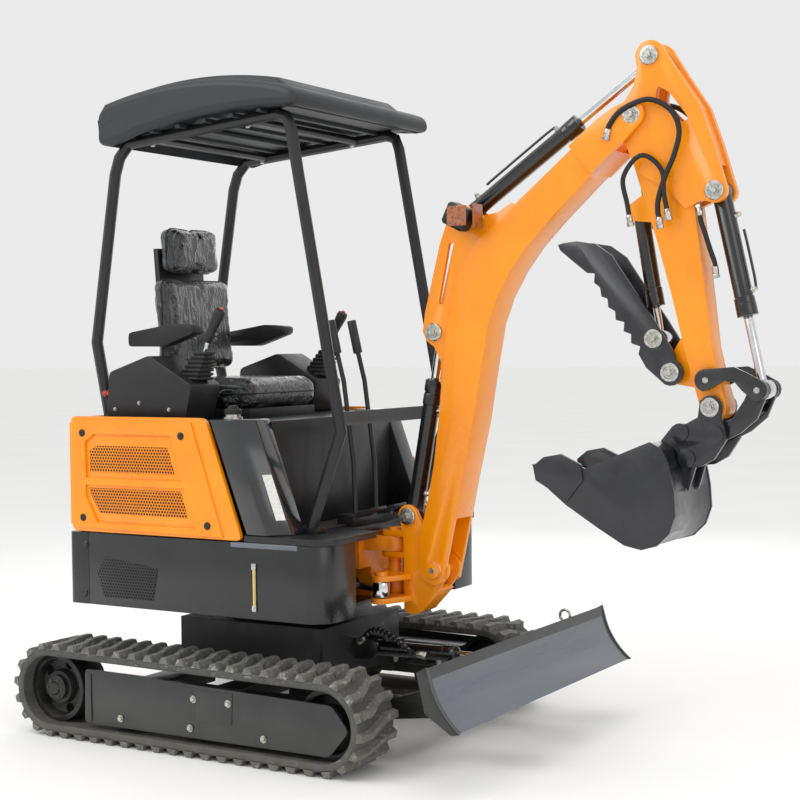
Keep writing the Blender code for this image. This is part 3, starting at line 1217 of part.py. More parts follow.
def offset_line(line, depth):
    """An open line of (x, z) points moved sideways by depth."""
    moved = []
    for index, point in enumerate(line):
        before = Vector(line[max(index - 1, 0)])
        after = Vector(line[min(index + 1, len(line) - 1)])
        ahead = (after - before).normalized()
        moved.append(tuple(Vector(point) + Vector((ahead.y, -ahead.x)) * depth))
    return moved


def bucket_skin(shell):
    """The wrapper plate: the shell line and the same line set in by the wall."""
    return shell + offset_line(shell, BUCKET_WALL)[::-1]


# ---- thumb ---------------------------------------------------------------------------------------
def build_thumb(arm, pivot):
    place = arm_point(pivot)
    s = THUMB_LENGTH
    back = [(0.995, -0.004), (0.975, -0.022), (0.925, -0.054), (0.830, -0.090), (0.715, -0.102),
            (0.571, -0.090), (0.286, -0.068), (0.060, -0.046)]
    steps = [(0.117, 0.044), (0.203, 0.034), (0.227, 0.015), (0.277, 0.029), (0.314, 0.011),
             (0.357, 0.022), (0.391, 0.002), (0.436, 0.017), (0.473, 0.001), (0.519, 0.008),
             (0.557, -0.007), (0.591, 0.002), (0.635, -0.013), (0.680, -0.009),
             (0.714, -0.029), (0.750, -0.013), (0.856, -0.005), (0.960, 0.002)]
    outline = [(x * s, z) for x, z in back] + [*arc((0, 0), 0.038, 290, 110, 8)]
    outline += [(x * s, z) for x, z in steps]
    thumb = plate("thumb", outline, THUMB_INNER, THUMB_OUTER, black_paint)
    join(thumb, plate("right_plate", outline, -THUMB_OUTER, -THUMB_INNER))
    join(thumb, cross_pin("pivot_pin", (0, 0), THUMB_OUTER - 0.002, PIN_RADIUS))
    join(thumb, cross_pin("tie_tube", (0.659 * s, -0.048), THUMB_OUTER - 0.002, 0.015, 16))
    for spot in ((0, 0), THUMB_EYE):
        add_outer_heads(thumb, spot, THUMB_OUTER)
    for side in (-1, 1):
        y0, y1 = sorted((side * 0.0290, side * 0.0500))
        boss = rod("eye_boss", (THUMB_EYE[0], y0, THUMB_EYE[1]),
                   (THUMB_EYE[0], y1, THUMB_EYE[1]), 0.022, 16)
        join(thumb, boss)
    settle(thumb, place, THUMB_ANGLE)
    base = arm_point(THUMB_CYLINDER_BASE)
    end = on_link(place, THUMB_ANGLE, THUMB_EYE)
    cylinder_pair("thumb", (base[0], 0, base[1]), (end[0], 0, end[1]), 0.262, 0.011, 0.0235,
                  0.0235, base_parent=arm, eye=0.027, retract=THUMB_RETRACT)


clear_scene()
parts = new_collection("mini_excavator")
cutters = new_collection("cutters")
orange = material("orange_paint", (1.0, 0.33, 0.0), 0.32)
black_paint = material("black_paint", (0.012, 0.013, 0.015), 0.35)
dark_paint = material("dark_grey_paint", (0.035, 0.037, 0.042), 0.38)
rubber = material("rubber", (0.05, 0.05, 0.05), 0.85)
chrome = material("chrome", (0.80, 0.80, 0.82), 0.12, 1.0)
plastic = material("moulded_plastic", (0.045, 0.048, 0.052), 0.6)
vinyl = material("seat_vinyl", (0.03, 0.032, 0.036), 0.4)

machine = bpy.data.objects.new("machine", None)
parts.objects.link(machine)

build_undercarriage()
build_blade()
build_house_shell()
build_swing_post()
build_upper_body()
build_canopy()
build_seat()
build_controls()
build_bracket()
boom_object, arm_cylinder_pin = build_boom()
arm_object, rocker_place, thumb_place = build_arm(boom_object, arm_cylinder_pin)
build_linkage(arm_object, rocker_place)
build_thumb(arm_object, thumb_place)

machine.location.x = MACHINE_SHIFT
for cutter in cutters.objects:
    cutter.matrix_world = Matrix.Translation((MACHINE_SHIFT, 0, 0)) @ cutter.matrix_world
bpy.context.view_layer.update()
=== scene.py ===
import json
import math
import bpy
from mathutils import Matrix, Vector


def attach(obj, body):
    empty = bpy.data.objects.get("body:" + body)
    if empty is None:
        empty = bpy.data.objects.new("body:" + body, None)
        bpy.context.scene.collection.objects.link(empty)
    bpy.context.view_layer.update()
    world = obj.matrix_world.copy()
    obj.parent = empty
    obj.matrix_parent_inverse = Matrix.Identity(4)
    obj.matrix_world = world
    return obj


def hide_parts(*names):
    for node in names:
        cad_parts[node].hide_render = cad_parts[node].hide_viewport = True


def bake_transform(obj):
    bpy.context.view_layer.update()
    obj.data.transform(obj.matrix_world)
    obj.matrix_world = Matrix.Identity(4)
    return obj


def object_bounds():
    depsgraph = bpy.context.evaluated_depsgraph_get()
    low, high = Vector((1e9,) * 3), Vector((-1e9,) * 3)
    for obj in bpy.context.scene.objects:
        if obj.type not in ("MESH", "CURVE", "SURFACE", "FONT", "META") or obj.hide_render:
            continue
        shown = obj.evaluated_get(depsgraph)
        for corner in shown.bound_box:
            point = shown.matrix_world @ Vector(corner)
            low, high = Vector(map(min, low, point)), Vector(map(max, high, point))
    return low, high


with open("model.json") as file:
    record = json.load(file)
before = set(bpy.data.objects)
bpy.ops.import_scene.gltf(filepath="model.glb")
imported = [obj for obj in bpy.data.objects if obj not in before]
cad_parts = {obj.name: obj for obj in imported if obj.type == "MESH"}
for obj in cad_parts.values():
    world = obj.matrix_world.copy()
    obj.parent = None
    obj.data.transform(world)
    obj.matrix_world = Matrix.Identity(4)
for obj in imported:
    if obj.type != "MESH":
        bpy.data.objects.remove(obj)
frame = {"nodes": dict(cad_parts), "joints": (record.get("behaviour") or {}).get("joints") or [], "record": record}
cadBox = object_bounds()
nodes = frame["nodes"]
joints = {joint["name"]: joint for joint in frame["joints"]}
bodyOf = {node: body for body, held in frame["record"]["behaviour"]["bodies"].items() for node in held}
print("frame loaded:", len(nodes), "nodes")


# colours and node helper

def paint(text):  # sRGB hex to linear
    parts = [int(text[i:i + 2], 16) / 255 for i in (1, 3, 5)]
    return (*[p / 12.92 if p <= 0.04045 else ((p + 0.055) / 1.055) ** 2.4 for p in parts], 1.0)


def addNode(tree, kind, links=None, **settings):  # one node with its settings, values and links
    node = tree.nodes.new(kind)
    for name, value in settings.items():
        setattr(node, name, value)
    for name, value in (links or {}).items():
        if isinstance(value, bpy.types.NodeSocket):
            tree.links.new(value, node.inputs[name])
        else:
            node.inputs[name].default_value = value
    return node


def ramp(tree, factor, stops):  # colour ramp with (place, colour) stops
    node = addNode(tree, "ShaderNodeValToRGB", {"Fac": factor})
    ramped = node.color_ramp.elements
    while len(ramped) < len(stops):
        ramped.new(0.5)
    for element, (place, colour) in zip(ramped, stops):
        element.position = place
        element.color = colour
    return node.outputs["Color"]


def newLook(name):
    look = bpy.data.materials.new(name)
    look.use_nodes = True
    tree = look.node_tree
    return look, tree, tree.nodes["Principled BSDF"]


def surface(name, colours, rough, metallic=0.0, coat=0.0, grainMm=2.0, grain=0.05, mottleMm=60.0,
            roughSpread=0.08, dust=None, dustHeight=0.35, stretch=(1, 1, 1), wearAndGlints=None):
    look, tree, shader = newLook(name)
    place = addNode(tree, "ShaderNodeTexCoord").outputs["Object"]
    scaled = addNode(tree, "ShaderNodeMapping", {"Vector": place, "Scale": stretch}).outputs["Vector"]
    cloud = addNode(tree, "ShaderNodeTexNoise",
                    {"Vector": scaled, "Scale": 1000 / mottleMm, "Detail": 4.0, "Roughness": 0.6})
    colour = ramp(tree, cloud.outputs["Fac"], [(0.35, paint(colours[0])), (0.65, paint(colours[1]))])
    fine = addNode(tree, "ShaderNodeTexNoise",
                   {"Vector": scaled, "Scale": 1000 / grainMm, "Detail": 2.0, "Roughness": 0.5})
    if wearAndGlints:  # rubbed patches along exposed places; on the lamp lens the pale patches are painted glints
        patch = addNode(tree, "ShaderNodeTexNoise",
                        {"Vector": scaled, "Scale": 1000 / wearAndGlints[1], "Detail": 6.0, "Roughness": 0.75})
        amount = addNode(tree, "ShaderNodeMapRange", {"Value": patch.outputs["Fac"], "From Min": wearAndGlints[2],
                                                      "From Max": wearAndGlints[2] + 0.08})
        colour = addNode(tree, "ShaderNodeMix", {0: amount.outputs[0], 6: colour, 7: paint(wearAndGlints[0])},
                         data_type="RGBA").outputs[2]
    if dust:  # dust lies thicker near the ground
        height = addNode(tree, "ShaderNodeSeparateXYZ", {"Vector": place}).outputs["Z"]
        low = addNode(tree, "ShaderNodeMapRange", {"Value": height, "From Min": 0.0,
                                                   "From Max": dustHeight, "To Min": 0.75, "To Max": 0.0})
        spots = addNode(tree, "ShaderNodeMath", {0: low.outputs[0], 1: cloud.outputs["Fac"]},
                        operation="MULTIPLY")
        colour = addNode(tree, "ShaderNodeMix", {0: spots.outputs[0], 6: colour, 7: paint(dust)},
                         data_type="RGBA").outputs[2]
    spread = addNode(tree, "ShaderNodeMapRange",
                     {"Value": cloud.outputs["Fac"], "From Min": 0.3, "From Max": 0.7,
                      "To Min": max(rough - roughSpread, 0.02), "To Max": rough + roughSpread})
    bump = addNode(tree, "ShaderNodeBump", {"Height": fine.outputs["Fac"], "Strength": 1.0,
                                            "Distance": grain / 1000})
    tree.links.new(colour, shader.inputs["Base Color"])
    tree.links.new(spread.outputs[0], shader.inputs["Roughness"])
    tree.links.new(bump.outputs["Normal"], shader.inputs["Normal"])
    shader.inputs["Metallic"].default_value = metallic
    shader.inputs["Coat Weight"].default_value = coat
    shader.inputs["Coat Roughness"].default_value = 0.12
    return look


# two-pack gloss enamel sprayed on plate: orange peel a few mm wide, clean reflections
orangeEnamel = surface("orangeEnamel", ("#F78E00", "#FF9A00"), 0.30, coat=0.30, grainMm=5.0, grain=0.05,
                       mottleMm=220, roughSpread=0.05)
# the same enamel on rough castings at the swing post, made darker as painted shade where the post stands in
# shadow, with scattered darker brown patches
castingEnamel = surface("castingEnamel", ("#D87A00", "#F08A00"), 0.42, coat=0.2, grainMm=3.0, grain=0.25,
                        mottleMm=40, roughSpread=0.10, wearAndGlints=("#8A4A0C", 22, 0.66))
# powder coated charcoal sheet of the lower bodywork, satin with a soft sheen
charcoalPowder = surface("charcoalPowder", ("#17181A", "#1E1F21"), 0.30, coat=0.25, grainMm=1.6,
                         grain=0.03, mottleMm=180, roughSpread=0.06)
# black enamel on cylinders, thumb and bucket: deep gloss
blackEnamel = surface("blackEnamel", ("#0C0D0F", "#15161A"), 0.24, coat=0.5, grainMm=4.0, grain=0.04,
                      mottleMm=120, roughSpread=0.07)
# black enamel on earth moving steel, with scuffs
workedEnamel = surface("workedEnamel", ("#191A1F", "#22232A"), 0.33, coat=0.3, grainMm=3.0, grain=0.10,
                       mottleMm=70, roughSpread=0.10, wearAndGlints=("#3A3A40", 14, 0.70))
# blue black gloss of the slanted side covers
coverGloss = surface("coverGloss", ("#16171A", "#1E2024"), 0.16, coat=0.8, grainMm=6.0, grain=0.03,
                     mottleMm=160, roughSpread=0.04)
# satin black powder on the canopy tubes and deck
satinPowder = surface("satinPowder", ("#131416", "#1C1D20"), 0.42, coat=0.1, grainMm=1.2, grain=0.06,
                      mottleMm=120, roughSpread=0.07)
# rotomoulded polyethylene roof: dull grey black with a fine leathery skin
rotoPlastic = surface("rotoPlastic", ("#212427", "#282B2F"), 0.50, grainMm=2.2, grain=0.16, mottleMm=140,
                      roughSpread=0.06)
# injection moulded ABS of grips, plugs and consoles
mouldedBlack = surface("mouldedBlack", ("#141416", "#1B1B1E"), 0.46, grainMm=0.9, grain=0.08, mottleMm=30)
# EPDM rubber of bellows and hose covers
softRubber = surface("softRubber", ("#101011", "#19191A"), 0.58, grainMm=1.5, grain=0.08, mottleMm=20)
# natural rubber track, chalky from handling, rubbed pale in patches, dusty towards the ground
trackRubber = surface("trackRubber", ("#444442", "#565653"), 0.78, grainMm=3.0, grain=0.35, mottleMm=45,
                      roughSpread=0.10, wearAndGlints=("#8A8A84", 26, 0.60), dust="#6B6860", dustHeight=0.30)
# the lugs are paler still: a painted highlight where the raised lugs catch the light, with rubbed pale patches
lugRubber = surface("lugRubber", ("#5A5A57", "#74746F"), 0.74, grainMm=2.4, grain=0.35, mottleMm=26,
                    roughSpread=0.10, wearAndGlints=("#A5A59E", 18, 0.56), dust="#6B6860", dustHeight=0.30)
# dark grey enamel of the track frames
greyEnamel = surface("greyEnamel", ("#2B2C2D", "#333435"), 0.40, coat=0.15, grainMm=2.5, grain=0.06,
                     mottleMm=110, roughSpread=0.06, dust="#4E4C48", dustHeight=0.22)
# painted steel under the machine, greasy and dusty
underSteel = surface("underSteel", ("#0E0F11", "#1A1B1C"), 0.48, grainMm=3.0, grain=0.15, mottleMm=50,
                     dust="#45423C", dustHeight=0.25)
# pale blue grey: a painted reflection of the bright surroundings on the blade's front face, also the pale grey of
# the skirt ledges
bladeSteel = surface("bladeSteel", ("#60666D", "#737980"), 0.30, metallic=0.35, coat=0.2, grainMm=3.0,
                     grain=0.05, mottleMm=260, roughSpread=0.08, stretch=(1, 0.25, 3))
bladeBand = surface("bladeBand", ("#232422", "#2D2E2C"), 0.30, metallic=0.1, coat=0.3, grainMm=3.0,
                    grain=0.05, mottleMm=240, roughSpread=0.06, stretch=(1, 0.25, 3))
# hard chromed piston rods, ground and polished
hardChrome = surface("hardChrome", ("#C9CBCE", "#E2E4E6"), 0.09, metallic=1.0, grainMm=1.0, grain=0.004,
                     mottleMm=90, roughSpread=0.04)
# bright zinc plating on bolts and hose fittings, slightly cloudy
zincPlate = surface("zincPlate", ("#A9A8A2", "#D6D6D0"), 0.30, metallic=1.0, grainMm=1.2, grain=0.03,
                    mottleMm=8, roughSpread=0.12)
# printed polyester mat on the floor: maroon flecks on black
footMat = surface("footMat", ("#1C1416", "#3A2228"), 0.80, grainMm=5.0, grain=0.8, mottleMm=9,
                  wearAndGlints=("#55303A", 7, 0.62))
sightYellow = surface("sightYellow", ("#C9B56A", "#D8C67C"), 0.22, coat=0.6, grainMm=3.0, grain=0.02,
                      mottleMm=12)  # acrylic level tube with pale oil behind
redKnob = surface("redKnob", ("#C41414", "#D82020"), 0.35, coat=0.4, grainMm=2.0, grain=0.03, mottleMm=12)
# painted shade: the near black plate standing for the shadowed slot behind the level tube
darkHole = surface("darkHole", ("#060606", "#0C0B0A"), 0.85, grainMm=3.0, grain=0.05, mottleMm=20)


def amberLens(name):  # pressed polycarbonate lens over a reflector, rows of small prisms
    # painted glints: the pale patches stand for light caught by the lens prisms
    look = surface(name, ("#7A4326", "#B4693A"), 0.18, coat=0.9, grainMm=6.0, grain=0.5, mottleMm=9,
                   wearAndGlints=("#E0B48C", 6, 0.62))
    return look


lampLens = amberLens("amberLens")


def filmedVinyl(name, foldMm, along):
    # black upholstery vinyl under loose clear polythene film: sharp wet folds whose crests are painted pale as
    # glints
    look, tree, shader = newLook(name)
    place = addNode(tree, "ShaderNodeTexCoord").outputs["Object"]
    scaled = addNode(tree, "ShaderNodeMapping", {"Vector": place, "Scale": along}).outputs["Vector"]
    folds = addNode(tree, "ShaderNodeTexNoise", {"Vector": scaled, "Scale": 1000 / foldMm, "Detail": 5.0,
                                                 "Roughness": 0.55, "Distortion": 1.4})
    ridge = addNode(tree, "ShaderNodeMath", {0: folds.outputs["Fac"], 1: 0.5}, operation="SUBTRACT")
    sharp = addNode(tree, "ShaderNodeMath", {0: ridge.outputs[0]}, operation="ABSOLUTE")
    crest = addNode(tree, "ShaderNodeMapRange", {"Value": sharp.outputs[0], "From Min": 0.0,
                                                 "From Max": 0.055, "To Min": 1.0, "To Max": 0.0})
    # painted highlight: the fold crests are coloured pale grey as glints on the film
    colour = ramp(tree, crest.outputs[0], [(0.0, paint("#17181A")), (0.72, paint("#24272A")),
                                           (1.0, paint("#555C60"))])
    leather = addNode(tree, "ShaderNodeTexVoronoi", {"Vector": place, "Scale": 420.0})
    grain = addNode(tree, "ShaderNodeBump", {"Height": leather.outputs["Distance"], "Distance": 0.0003})
    crease = addNode(tree, "ShaderNodeBump", {"Height": crest.outputs[0], "Distance": 0.0045,
                                              "Normal": grain.outputs["Normal"]})
    tree.links.new(colour, shader.inputs["Base Color"])
    tree.links.new(crease.outputs["Normal"], shader.inputs["Normal"])
    tree.links.new(crease.outputs["Normal"], shader.inputs["Coat Normal"])
    shader.inputs["Roughness"].default_value = 0.30
    shader.inputs["Coat Weight"].default_value = 0.9
    shader.inputs["Coat Roughness"].default_value = 0.08
    return look


backVinyl = filmedVinyl("filmedVinylBack", 60, (1.0, 1.6, 0.45))
cushionVinyl = filmedVinyl("filmedVinylCushion", 60, (0.5, 1.5, 1.0))


def braid(name):
    # wire braided rubber hose with a spiral of pale marker yarn, drawn over the hose's own map
    look, tree, shader = newLook(name)
    own = addNode(tree, "ShaderNodeUVMap", uv_map="UVMap").outputs["UV"]
    split = addNode(tree, "ShaderNodeSeparateXYZ", {"Vector": own})
    turns = addNode(tree, "ShaderNodeMath", {0: split.outputs["Y"], 1: 1000 / 16}, operation="MULTIPLY")
    lead = addNode(tree, "ShaderNodeMath", {0: turns.outputs[0], 1: split.outputs["X"]}, operation="ADD")
    saw = addNode(tree, "ShaderNodeMath", {0: lead.outputs[0]}, operation="FRACT")
    yarn = addNode(tree, "ShaderNodeMapRange", {"Value": saw.outputs[0], "From Min": 0.70,
                                                "From Max": 0.76})
    dash = addNode(tree, "ShaderNodeMath", {0: split.outputs["X"], 1: 4.0}, operation="MULTIPLY")
    dashSaw = addNode(tree, "ShaderNodeMath", {0: dash.outputs[0]}, operation="FRACT")
    gate = addNode(tree, "ShaderNodeMapRange", {"Value": dashSaw.outputs[0], "From Min": 0.45,
                                                "From Max": 0.55})
    both = addNode(tree, "ShaderNodeMath", {0: yarn.outputs[0], 1: gate.outputs[0]}, operation="MULTIPLY")
    colour = addNode(tree, "ShaderNodeMix", {0: both.outputs[0], 6: paint("#111113"),
                                             7: paint("#8E8B84")}, data_type="RGBA")
    round_ = addNode(tree, "ShaderNodeMath", {0: saw.outputs[0], 1: math.pi}, operation="MULTIPLY")
    swell = addNode(tree, "ShaderNodeMath", {0: round_.outputs[0]}, operation="SINE")
    bump = addNode(tree, "ShaderNodeBump", {"Height": swell.outputs[0], "Distance": 0.0012})
    tree.links.new(colour.outputs[2], shader.inputs["Base Color"])
    tree.links.new(bump.outputs["Normal"], shader.inputs["Normal"])
    shader.inputs["Roughness"].default_value = 0.5
    return look


braidedHose = braid("braidedHose")


def perforated(name, sheet, pitchMm):
    # punched sheet: staggered round holes on the sheet's own flat, coloured with painted shade for the dark behind
    look, tree, shader = newLook(name)
    place = addNode(tree, "ShaderNodeTexCoord").outputs["Object"]
    split = addNode(tree, "ShaderNodeSeparateXYZ", {"Vector": place})
    pitch = pitchMm / 1000
    nearest = []
    for shift in (0.0, 0.5):  # two square lattices make the stagger
        squares = []
        for axis, step in (("X", pitch), ("Z", pitch * 1.732)):
            cell = addNode(tree, "ShaderNodeMath", {0: split.outputs[axis], 1: 1 / step},
                           operation="MULTIPLY")
            moved = addNode(tree, "ShaderNodeMath", {0: cell.outputs[0], 1: 100 + shift}, operation="ADD")
            saw = addNode(tree, "ShaderNodeMath", {0: moved.outputs[0]}, operation="FRACT")
            centred = addNode(tree, "ShaderNodeMath", {0: saw.outputs[0], 1: 0.5}, operation="SUBTRACT")
            length = addNode(tree, "ShaderNodeMath", {0: centred.outputs[0], 1: step * 1000},
                             operation="MULTIPLY")
            square = addNode(tree, "ShaderNodeMath", {0: length.outputs[0], 1: 2.0}, operation="POWER")
            squares.append(square.outputs[0])
        total = addNode(tree, "ShaderNodeMath", {0: squares[0], 1: squares[1]}, operation="ADD")
        nearest.append(addNode(tree, "ShaderNodeMath", {0: total.outputs[0]}, operation="SQRT"))
    least = addNode(tree, "ShaderNodeMath", {0: nearest[0].outputs[0], 1: nearest[1].outputs[0]},
                    operation="MINIMUM")
    hole = addNode(tree, "ShaderNodeMapRange", {"Value": least.outputs[0], "From Min": pitchMm * 0.30,
                                                "From Max": pitchMm * 0.36, "To Min": 1.0, "To Max": 0.0})
    cloud = addNode(tree, "ShaderNodeTexNoise", {"Vector": place, "Scale": 14.0, "Detail": 3.0})
    base = ramp(tree, cloud.outputs["Fac"], [(0.3, paint(sheet[0])), (0.7, paint(sheet[1]))])
    # painted shade: the holes take the sheet's third colour, the shade behind the sheet
    colour = addNode(tree, "ShaderNodeMix", {0: hole.outputs[0], 6: base, 7: paint(sheet[2])},
                     data_type="RGBA")
    rough = addNode(tree, "ShaderNodeMapRange", {"Value": hole.outputs[0], "To Min": 0.34, "To Max": 0.8})
    bump = addNode(tree, "ShaderNodeBump", {"Height": hole.outputs[0], "Distance": 0.0015}, invert=True)
    tree.links.new(colour.outputs[2], shader.inputs["Base Color"])
    tree.links.new(rough.outputs[0], shader.inputs["Roughness"])
    tree.links.new(bump.outputs["Normal"], shader.inputs["Normal"])
    return look


# the third colour of each sheet is the painted shade seen through its holes
orangeMesh = perforated("punchedOrangeSheet", ("#E68200", "#F39000", "#3A1C04"), 11.0)
charcoalMesh = perforated("punchedCharcoalSheet", ("#28292B", "#303133", "#060607"), 11.0)
print("materials made")


# shaping helpers

bothSides = ((-1, "Right"), (1, "Left"))  # of the Y axis


def deselect():
    if bpy.context.object and bpy.context.object.mode != "OBJECT":
        bpy.ops.object.mode_set(mode="OBJECT")
    bpy.ops.object.select_all(action="DESELECT")


def editAll():
    bpy.ops.object.mode_set(mode="EDIT")
    bpy.ops.mesh.select_all(action="SELECT")


def takeUp(piece):
    deselect()
    piece.select_set(True)
    bpy.context.view_layer.objects.active = piece


def rename(name):  # the primitive that was just added
    piece = bpy.context.object
    piece.name = piece.data.name = name
    return piece


def modify(piece, kind, **settings):
    takeUp(piece)
    step = piece.modifiers.new(kind.lower(), kind)
    for name, value in settings.items():
        setattr(step, name, value)
    bpy.ops.object.modifier_apply(modifier=step.name)


def settle(piece, angle=35):  # place goes into the mesh, soft shading below the angle
    takeUp(piece)
    bpy.ops.object.transform_apply(location=True, rotation=True, scale=True)
    bpy.ops.object.shade_smooth_by_angle(angle=math.radians(angle))


def hand(piece, look, body, *nodeNames):  # finish, body and the nodes it stands for
    piece.data.materials.clear()
    piece.data.materials.append(look)
    if body:
        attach(piece, body)
    if nodeNames:
        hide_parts(*nodeNames)
    return piece


def bar(name, low, high, look, body, round_=0.002, *nodeNames):
    # a bevelled block between two corners
    deselect()
    low, high = Vector(low), Vector(high)
    bpy.ops.mesh.primitive_cube_add(size=1, location=(low + high) / 2)
    piece = rename(name)
    piece.scale = high - low
    settle(piece)
    editAll()
    bpy.ops.mesh.bevel(offset=round_, segments=2, affect="EDGES", clamp_overlap=True)
    settle(piece)
    return hand(piece, look, body, *nodeNames)


def seedPoint(name):  # a lone point in edit mode, which outlines grow from
    bpy.ops.mesh.primitive_plane_add(size=0.001)
    piece = rename(name)
    editAll()
    bpy.ops.mesh.merge(type="CENTER")
    return piece


def sheetOf(name, outline, near, far, look, body, round_=0.0015, *nodeNames):
    # an upright flat outline drawn point by point, filled, then extruded from near to far
    def spot(x, z, depth):
        return Vector((x, depth, z))
    deselect()
    piece = seedPoint(name)
    bpy.ops.transform.translate(value=spot(*outline[0], near))
    for a, b in zip(outline, outline[1:]):
        bpy.ops.mesh.extrude_region_move(TRANSFORM_OT_translate={"value": spot(*b, near) - spot(*a, near)})
    bpy.ops.mesh.select_all(action="SELECT")
    bpy.ops.mesh.edge_face_add()
    bpy.ops.mesh.extrude_region_move(
        TRANSFORM_OT_translate={"value": spot(0, 0, far) - spot(0, 0, near)})
    bpy.ops.mesh.select_all(action="SELECT")
    bpy.ops.mesh.normals_make_consistent(inside=False)
    bpy.ops.object.mode_set(mode="OBJECT")
    if round_:
        modify(piece, "BEVEL", width=round_, segments=2, limit_method="ANGLE",
               angle_limit=math.radians(28))
    settle(piece)
    return hand(piece, look, body, *nodeNames)


def turned(name, profile, start, toward, look, body, steps=40, *nodeNames):
    # a line of (radius, height) drawn point by point and spun about its axis
    deselect()
    piece = seedPoint(name)
    bpy.ops.transform.translate(value=(profile[0][0], 0, profile[0][1]))
    for a, b in zip(profile, profile[1:]):
        bpy.ops.mesh.extrude_region_move(
            TRANSFORM_OT_translate={"value": (b[0] - a[0], 0, b[1] - a[1])})
    bpy.ops.mesh.select_all(action="SELECT")
    bpy.ops.mesh.spin(steps=steps, angle=math.tau, center=(0, 0, 0), axis=(0, 0, 1))
    bpy.ops.mesh.select_all(action="SELECT")
    bpy.ops.mesh.remove_doubles(threshold=0.00001)
    bpy.ops.mesh.normals_make_consistent(inside=False)
    bpy.ops.object.mode_set(mode="OBJECT")
    turn = Vector(toward).normalized().to_track_quat("Z", "Y").to_matrix().to_4x4()
    piece.matrix_world = Matrix.Translation(Vector(start)) @ turn
    settle(piece)
    return hand(piece, look, body, *nodeNames)


def scatter(name, model, places, look, body):
    # copies of one model at (point, normal, size); each copy has its own mesh
    copies = []
    for point, normal, size in places:
        copy = model.copy()
        copy.data = model.data.copy()
        bpy.context.scene.collection.objects.link(copy)
        turn = Vector(normal).normalized().to_track_quat("Z", "Y").to_matrix().to_4x4()
        copy.matrix_world = Matrix.Translation(Vector(point)) @ turn @ Matrix.Scale(size, 4)
        copies.append(copy)
    deselect()
    for copy in copies:
        copy.select_set(True)
    bpy.context.view_layer.objects.active = copies[0]
    if len(copies) > 1:
        bpy.ops.object.join()
    made = rename(name)
    settle(made)
    return hand(made, look, body)


def freshCopy(name, nodeName):  # a copy of a node, its loose triangles merged
    mesh = nodes[nodeName].data.copy()
    mesh.name = name
    piece = bpy.data.objects.new(name, mesh)
    bpy.context.scene.collection.objects.link(piece)
    mesh.materials.clear()
    takeUp(piece)
    bpy.ops.mesh.customdata_custom_splitnormals_clear()
    editAll()
    bpy.ops.mesh.remove_doubles(threshold=0.00002)
    bpy.ops.mesh.dissolve_limited(angle_limit=math.radians(0.5))
    bpy.ops.object.mode_set(mode="OBJECT")
    return piece


def refine(nodeName, look, edge=0.002, segments=2):  # the node's shape with its plate edges eased
    piece = freshCopy(nodeName.title().replace("_", "") + "Body", nodeName)
    piece.name = piece.data.name = piece.name[0].lower() + piece.name[1:]
    modify(piece, "BEVEL", width=edge, segments=segments, limit_method="ANGLE",
           angle_limit=math.radians(32), miter_outer="MITER_ARC")
    takeUp(piece)
    bpy.ops.object.shade_smooth_by_angle(angle=math.radians(35))
    return hand(piece, look, bodyOf[nodeName], nodeName)


def smoothPath(points, step=0.012):  # a Catmull-Rom line through the points
    points = [Vector(p) for p in points]
    ends = [points[0] * 2 - points[1]] + points + [points[-1] * 2 - points[-2]]
    path = []
    for a, b, c, d in zip(ends, ends[1:], ends[2:], ends[3:]):
        count = max(2, int((c - b).length / step))
        for i in range(count):
            t = i / count
            path.append(0.5 * (2 * b + (c - a) * t + (2 * a - 5 * b + 4 * c - d) * t * t
                               + (3 * b - a - 3 * c + d) * t ** 3))
    path.append(points[-1])
    return path


def tube(name, points, radius, look, body, sides=12, step=0.012):
    # a hose or bar swept along a smooth line, closed at both ends, mapped round and along in metres
    path = smoothPath(points, step)
    verts, faces, maps = [], [], []
    side = (path[1] - path[0]).orthogonal().normalized()
    along = 0.0
    for i, point in enumerate(path):
        ahead = (path[min(i + 1, len(path) - 1)] - path[max(i - 1, 0)]).normalized()
        side = (side - ahead * side.dot(ahead)).normalized()
        up = ahead.cross(side)
        along += (point - path[i - 1]).length if i else 0.0
        for k in range(sides):
            a = math.tau * k / sides
            verts.append(point + (side * math.cos(a) + up * math.sin(a)) * radius)
        if i:
            for k in range(sides):
                j, base, last = (k + 1) % sides, i * sides, (i - 1) * sides
                faces.append((last + k, last + j, base + j, base + k))
                u0, u1 = k / sides, (k + 1) / sides
                maps.append(((u0, along - step), (u1, along - step), (u1, along), (u0, along)))
    faces += [tuple(reversed(range(sides))), tuple(range(len(verts) - sides, len(verts)))]
    maps += [((0, 0),) * sides] * 2
    mesh = bpy.data.meshes.new(name)
    mesh.from_pydata(verts, [], faces)
    layer = mesh.uv_layers.new(name="UVMap")
    for loop, spot in zip(layer.data, [spot for face in maps for spot in face]):
        loop.uv = spot
    piece = bpy.data.objects.new(name, mesh)
    bpy.context.scene.collection.objects.link(piece)
    settle(piece, 50)
    return hand(piece, look, body)


# camera, light and floor

def setCamera():
    view = {"place": (2.5422, -4.3158, 1.2271), "lens": 71.479,
            "turn": 2.11163, "tilt": -0.033198, "roll": -0.011764}
    deselect()
    bpy.ops.object.camera_add()
    camera = bpy.context.object
    camera.name = "camera"
    camera.data.lens = view["lens"]
    turn, tilt, roll = view["turn"], view["tilt"], view["roll"]
    ahead = Vector((math.cos(turn) * math.cos(tilt), math.sin(turn) * math.cos(tilt), math.sin(tilt)))
    right = Vector((math.sin(turn), -math.cos(turn), 0.0))
    up = right.cross(ahead)
    side = right * math.cos(roll) + up * math.sin(roll)
    top = up * math.cos(roll) - right * math.sin(roll)
    camera.matrix_world = Matrix((side, top, -ahead)).transposed().to_4x4()
    camera.matrix_world.translation = view["place"]
    bpy.context.scene.camera = camera


